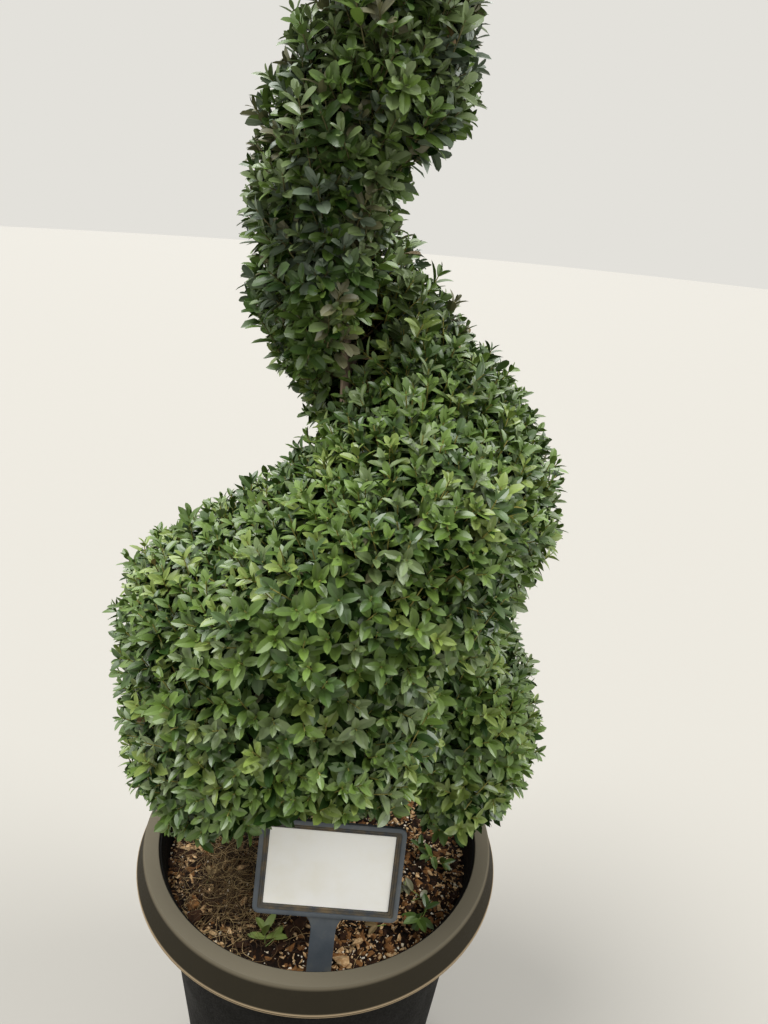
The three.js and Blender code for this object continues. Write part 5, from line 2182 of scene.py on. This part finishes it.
@dataclass
class Clippings:
    """Sprigs and single leaves that lie on the soil."""

    soil: Soil
    foliage: Foliage
    sprigs: tuple[Sprig, ...] = (
        Sprig(-46, -137, 100, 42, 3, 21, Tint.YOUNG),
        Sprig(-38, -141, 40, 20, 1, 18, Tint.YOUNG),
        Sprig(130, -92, 250, 35, 3, 24, Tint.MID),
        Sprig(136, -84, 60, 30, 2, 20, Tint.DEEP),
        Sprig(147, 1, 200, 30, 3, 19, Tint.MID),
        Sprig(158, -8, 330, 25, 2, 17, Tint.MID),
        Sprig(134, 8, 120, 30, 2, 17, Tint.DEEP),
        Sprig(122, -57, 150, 10, 2, 17, Tint.BRONZE),
        Sprig(112, -48, 260, 8, 1, 17, Tint.BRONZE),
        Sprig(128, -66, 20, 8, 1, 16, Tint.BRONZE),
        Sprig(83, -105, 200, 6, 1, 16, Tint.DEAD),
        Sprig(-128, -58, 80, 8, 1, 15, Tint.DEAD),
    )
    step: float = 4.0
    above: float = 3.5
    tip_share: float = 0.4
    first_angle: float = 32.0
    angle_step: float = 20.0
    wobble: float = 0.08
    sizes: Pair = (0.85, 1.05)
    breadth: float = 1.06
    tilt: float = 0.2
    stalk_radius: float = 0.6
    seed: int = 21

    def build(self, tubes: TubeTree) -> None:
        """Makes the sprigs' leaves and stalks.

        Args:
            tubes: the tree that makes the stalks round.
        """
        rng = np.random.default_rng(self.seed)
        parts: dict[str, list] = {"place": [], "facing": [], "size": [], "kind": [], "tint": []}
        stalks = []
        for sprig in self.sprigs:
            radius, angle = math.hypot(sprig.x, sprig.y), math.atan2(sprig.y, sprig.x)
            ground = float(self.soil.height(np.float64(radius), np.float64(angle))) + self.above
            foot = np.array([sprig.x, sprig.y, ground])
            turn, rise = math.radians(sprig.heading), math.radians(sprig.rise)
            ahead = np.array([math.cos(turn), math.sin(turn), 0]) * math.cos(rise) + UP * math.sin(rise)
            across = np.array([-math.sin(turn), math.cos(turn), 0])
            over = np.cross(ahead, across)
            length = self.step * (sprig.pairs + 1)
            tip = length * self.tip_share
            stalks.append(foot + ahead * np.linspace(-length, tip, 4)[:, None])
            for pair in range(sprig.pairs):
                angle = math.radians(self.first_angle + self.angle_step * pair)
                for side in (1, -1):
                    way = (across if pair % 2 == 0 else over) * side
                    blade = ahead * math.cos(angle) + way * math.sin(angle)
                    blade = unit(blade + rng.normal(0, self.wobble, 3))
                    upper = UP + self.tilt * ahead
                    upper = unit(upper - blade * (upper @ blade))
                    size = sprig.leaf * rng.uniform(*self.sizes)
                    values = (
                        foot + ahead * (tip - self.step * pair),
                        turned(blade[None], upper[None])[0],
                        size * np.array([1, self.breadth, 1]),
                        rng.integers(*POINTED),
                        TINT_NUMBER[sprig.tint],
                    )
                    for key, value in zip(parts, values):
                        parts[key].append(value)
        leaves = self.foliage.spray_mesh({key: np.array(value) for key, value in parts.items()})
        lines = np.array(stalks)
        young = self.foliage.materials[Tint.YOUNG]
        tubing = tubes.run(lines, np.full(lines.shape[:2], self.stalk_radius), 4, young)
        add_piece("fallen_sprigs", leaves, "leaves")
        add_piece("fallen_stalks", tubing, "leaves")


@dataclass
class LabelHolder:
    """A plastic label holder with a raised lip, and a card that is left bare."""

    foot: Triple = (18.2, -170.0, 334.0)
    yaw: float = 3.2
    lean: float = 18.0
    roll: float = -2.6
    width: float = 157.0
    height: float = 107.0
    corner: float = 8.0
    stem_width: float = 27.0
    stem_flare: float = 44.0
    stem_length: float = 64.0
    stem_buried: float = 32.0
    stem_tip_share: float = 0.72
    stem_tip: float = 8.0
    stem_widening: float = 18.0
    stem_overlap: float = 2.0
    arc_steps: int = 6
    holder_sharp: float = 35.0
    card_sharp: float = 15.0
    card_inset: float = 10.9
    card_heights: tuple[Pair, ...] = ((0.1, 1.62), (0.0, 1.7), (0.0, 2.1), (0.1, 2.16))
    stem_section: tuple[Pair, ...] = ((0.5, 0.1), (0.0, 0.5), (0.0, 2.3), (0.5, 2.7))
    frame_section: tuple[Pair, ...] = (
        (0.6, 0.0), (0.0, 0.6), (0.0, 4.1), (0.3, 4.8), (0.9, 5.0), (4.4, 5.0), (4.9, 4.7), (5.2, 3.7),
        (6.4, 3.6), (6.6, 4.1), (7.4, 4.1), (7.6, 3.1), (8.7, 3.0), (8.9, 3.5), (9.8, 3.5), (10.3, 1.65),
    )
    first_dusty: int = 7

    def placement(self) -> Matrix:
        """Returns the matrix, in metres, that stands the holder in the soil."""
        turn = Matrix.Rotation(math.radians(self.yaw), 4, "Z")
        turn = turn @ Matrix.Rotation(math.radians(90 - self.lean), 4, "X")
        turn = turn @ Matrix.Rotation(math.radians(self.roll), 4, "Z")
        return Matrix.Translation(Vector(self.foot) * MM) @ turn

    def outline(self, inset: float, z: float) -> Array:
        """Returns a rounded rectangle inside the frame's edge, at a height above its back."""
        half = np.array([self.width / 2 - inset, self.height / 2 - inset])
        corner = max(self.corner - inset, 1.0)
        points = []
        for number, (sx, sy) in enumerate(((1, -1), (1, 1), (-1, 1), (-1, -1))):
            centre = (half - corner) * np.array([sx, sy])
            for step in range(self.arc_steps + 1):
                angle = math.radians((number - 1) * 90 + step * 90 / self.arc_steps)
                x, y = centre + corner * np.array([math.cos(angle), math.sin(angle)])
                points.append((x, y + self.stem_length + self.height / 2, z))
        return np.array(points)

    def stem_outline(self, inset: float, z: float) -> Array:
        """Returns the stem's outline, which widens where it meets the frame."""
        half, flare = self.stem_width / 2 - inset, self.stem_flare / 2 - inset
        tip = (half * self.stem_tip_share, -self.stem_buried + inset)
        right = [tip, (half, -self.stem_buried + self.stem_tip)]
        start = self.stem_length + self.stem_overlap - self.stem_widening
        for share in np.linspace(0, 1, 8):
            right.append((lerp(half, flare, share**2), start + share * self.stem_widening))
        left = [(-x, y) for x, y in reversed(right)]
        return np.array([(x, y, z) for x, y in right + left])

    def build(self) -> None:
        """Makes the holder and its card."""
        rings = [self.outline(inset, z) for inset, z in self.frame_section]
        frame = capped(rings)
        stem = capped([self.stem_outline(inset, z) for inset, z in self.stem_section])
        mesh = mesh_of("holder", *merged([frame, stem]))
        mesh.transform(self.placement())
        mesh.set_sharp_from_angle(angle=math.radians(self.holder_sharp))
        mesh.materials.append(self.plastic())
        mesh.materials.append(self.dusty_plastic())
        # Dust lies on the ridges inside the lip, but not on the last face, which closes the frame.
        for number in range(1 + self.first_dusty * len(rings[0]), len(frame[1]) - 1):
            mesh.polygons[number].material_index = 1
        add_piece("holder_plastic", mesh, "holder", "label_holder")
        sheet = [self.outline(self.card_inset + step, z) for step, z in self.card_heights]
        card = mesh_of("card", *capped(sheet))
        card.transform(self.placement())
        card.set_sharp_from_angle(angle=math.radians(self.card_sharp))
        card.materials.append(self.card())
        add_piece("bare_card", card, "card", "label_card")

    def plastic(self) -> bpy.types.Material:
        """Returns the holder's finish: slate polypropylene, satin."""
        return PatternFinish(
            "slate polypropylene",
            ((0.35, "#474e54"), (0.75, "#666762"), (0.55, "#51575c")),
            grain=26.0,
            relief=0.05,
            relief_grain=1.5,
            roughness=(0.38, 0.6),
        ).material()

    def dusty_plastic(self) -> bpy.types.Material:
        """Returns the finish of the ridges round the card, where brown dust has settled."""
        return PatternFinish(
            "dusty slate polypropylene",
            ((0.35, "#43464a"), (0.66, "#74634a"), (0.5, "#565045")),
            grain=14.0,
            relief=0.08,
            relief_grain=1.5,
            roughness=(0.6, 0.85),
        ).material()

    def card(self) -> bpy.types.Material:
        """Returns the card's finish: matte coated paper, slightly yellowed in places."""
        return PatternFinish(
            "coated card",
            ((0.3, "#f8f5ea"), (0.7, "#fefdf8"), (0.5, "#fcfaf3")),
            grain=40.0,
            relief=0.02,
            relief_grain=0.6,
            roughness=(0.55, 0.7),
        ).material()


def main() -> None:
    """Builds every piece of the visual model in order."""
    logging.basicConfig(level=logging.INFO, format="%(name)s %(message)s")
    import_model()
    bpy.context.scene.view_settings.view_transform = "Standard"
    PhotoCamera().build()
    Studio().build()
    crown, line, tubes = Crown(), TrunkLine(), TubeTree()
    foliage = Foliage(crown, line, tubes)
    foliage.build()
    Trunk(line).build()
    pot = Pot()
    pot.build()
    soil = Soil(pot)
    soil.build(tubes)
    Clippings(soil, foliage).build(tubes)
    LabelHolder().build()


if __name__ == "__main__":
    main()
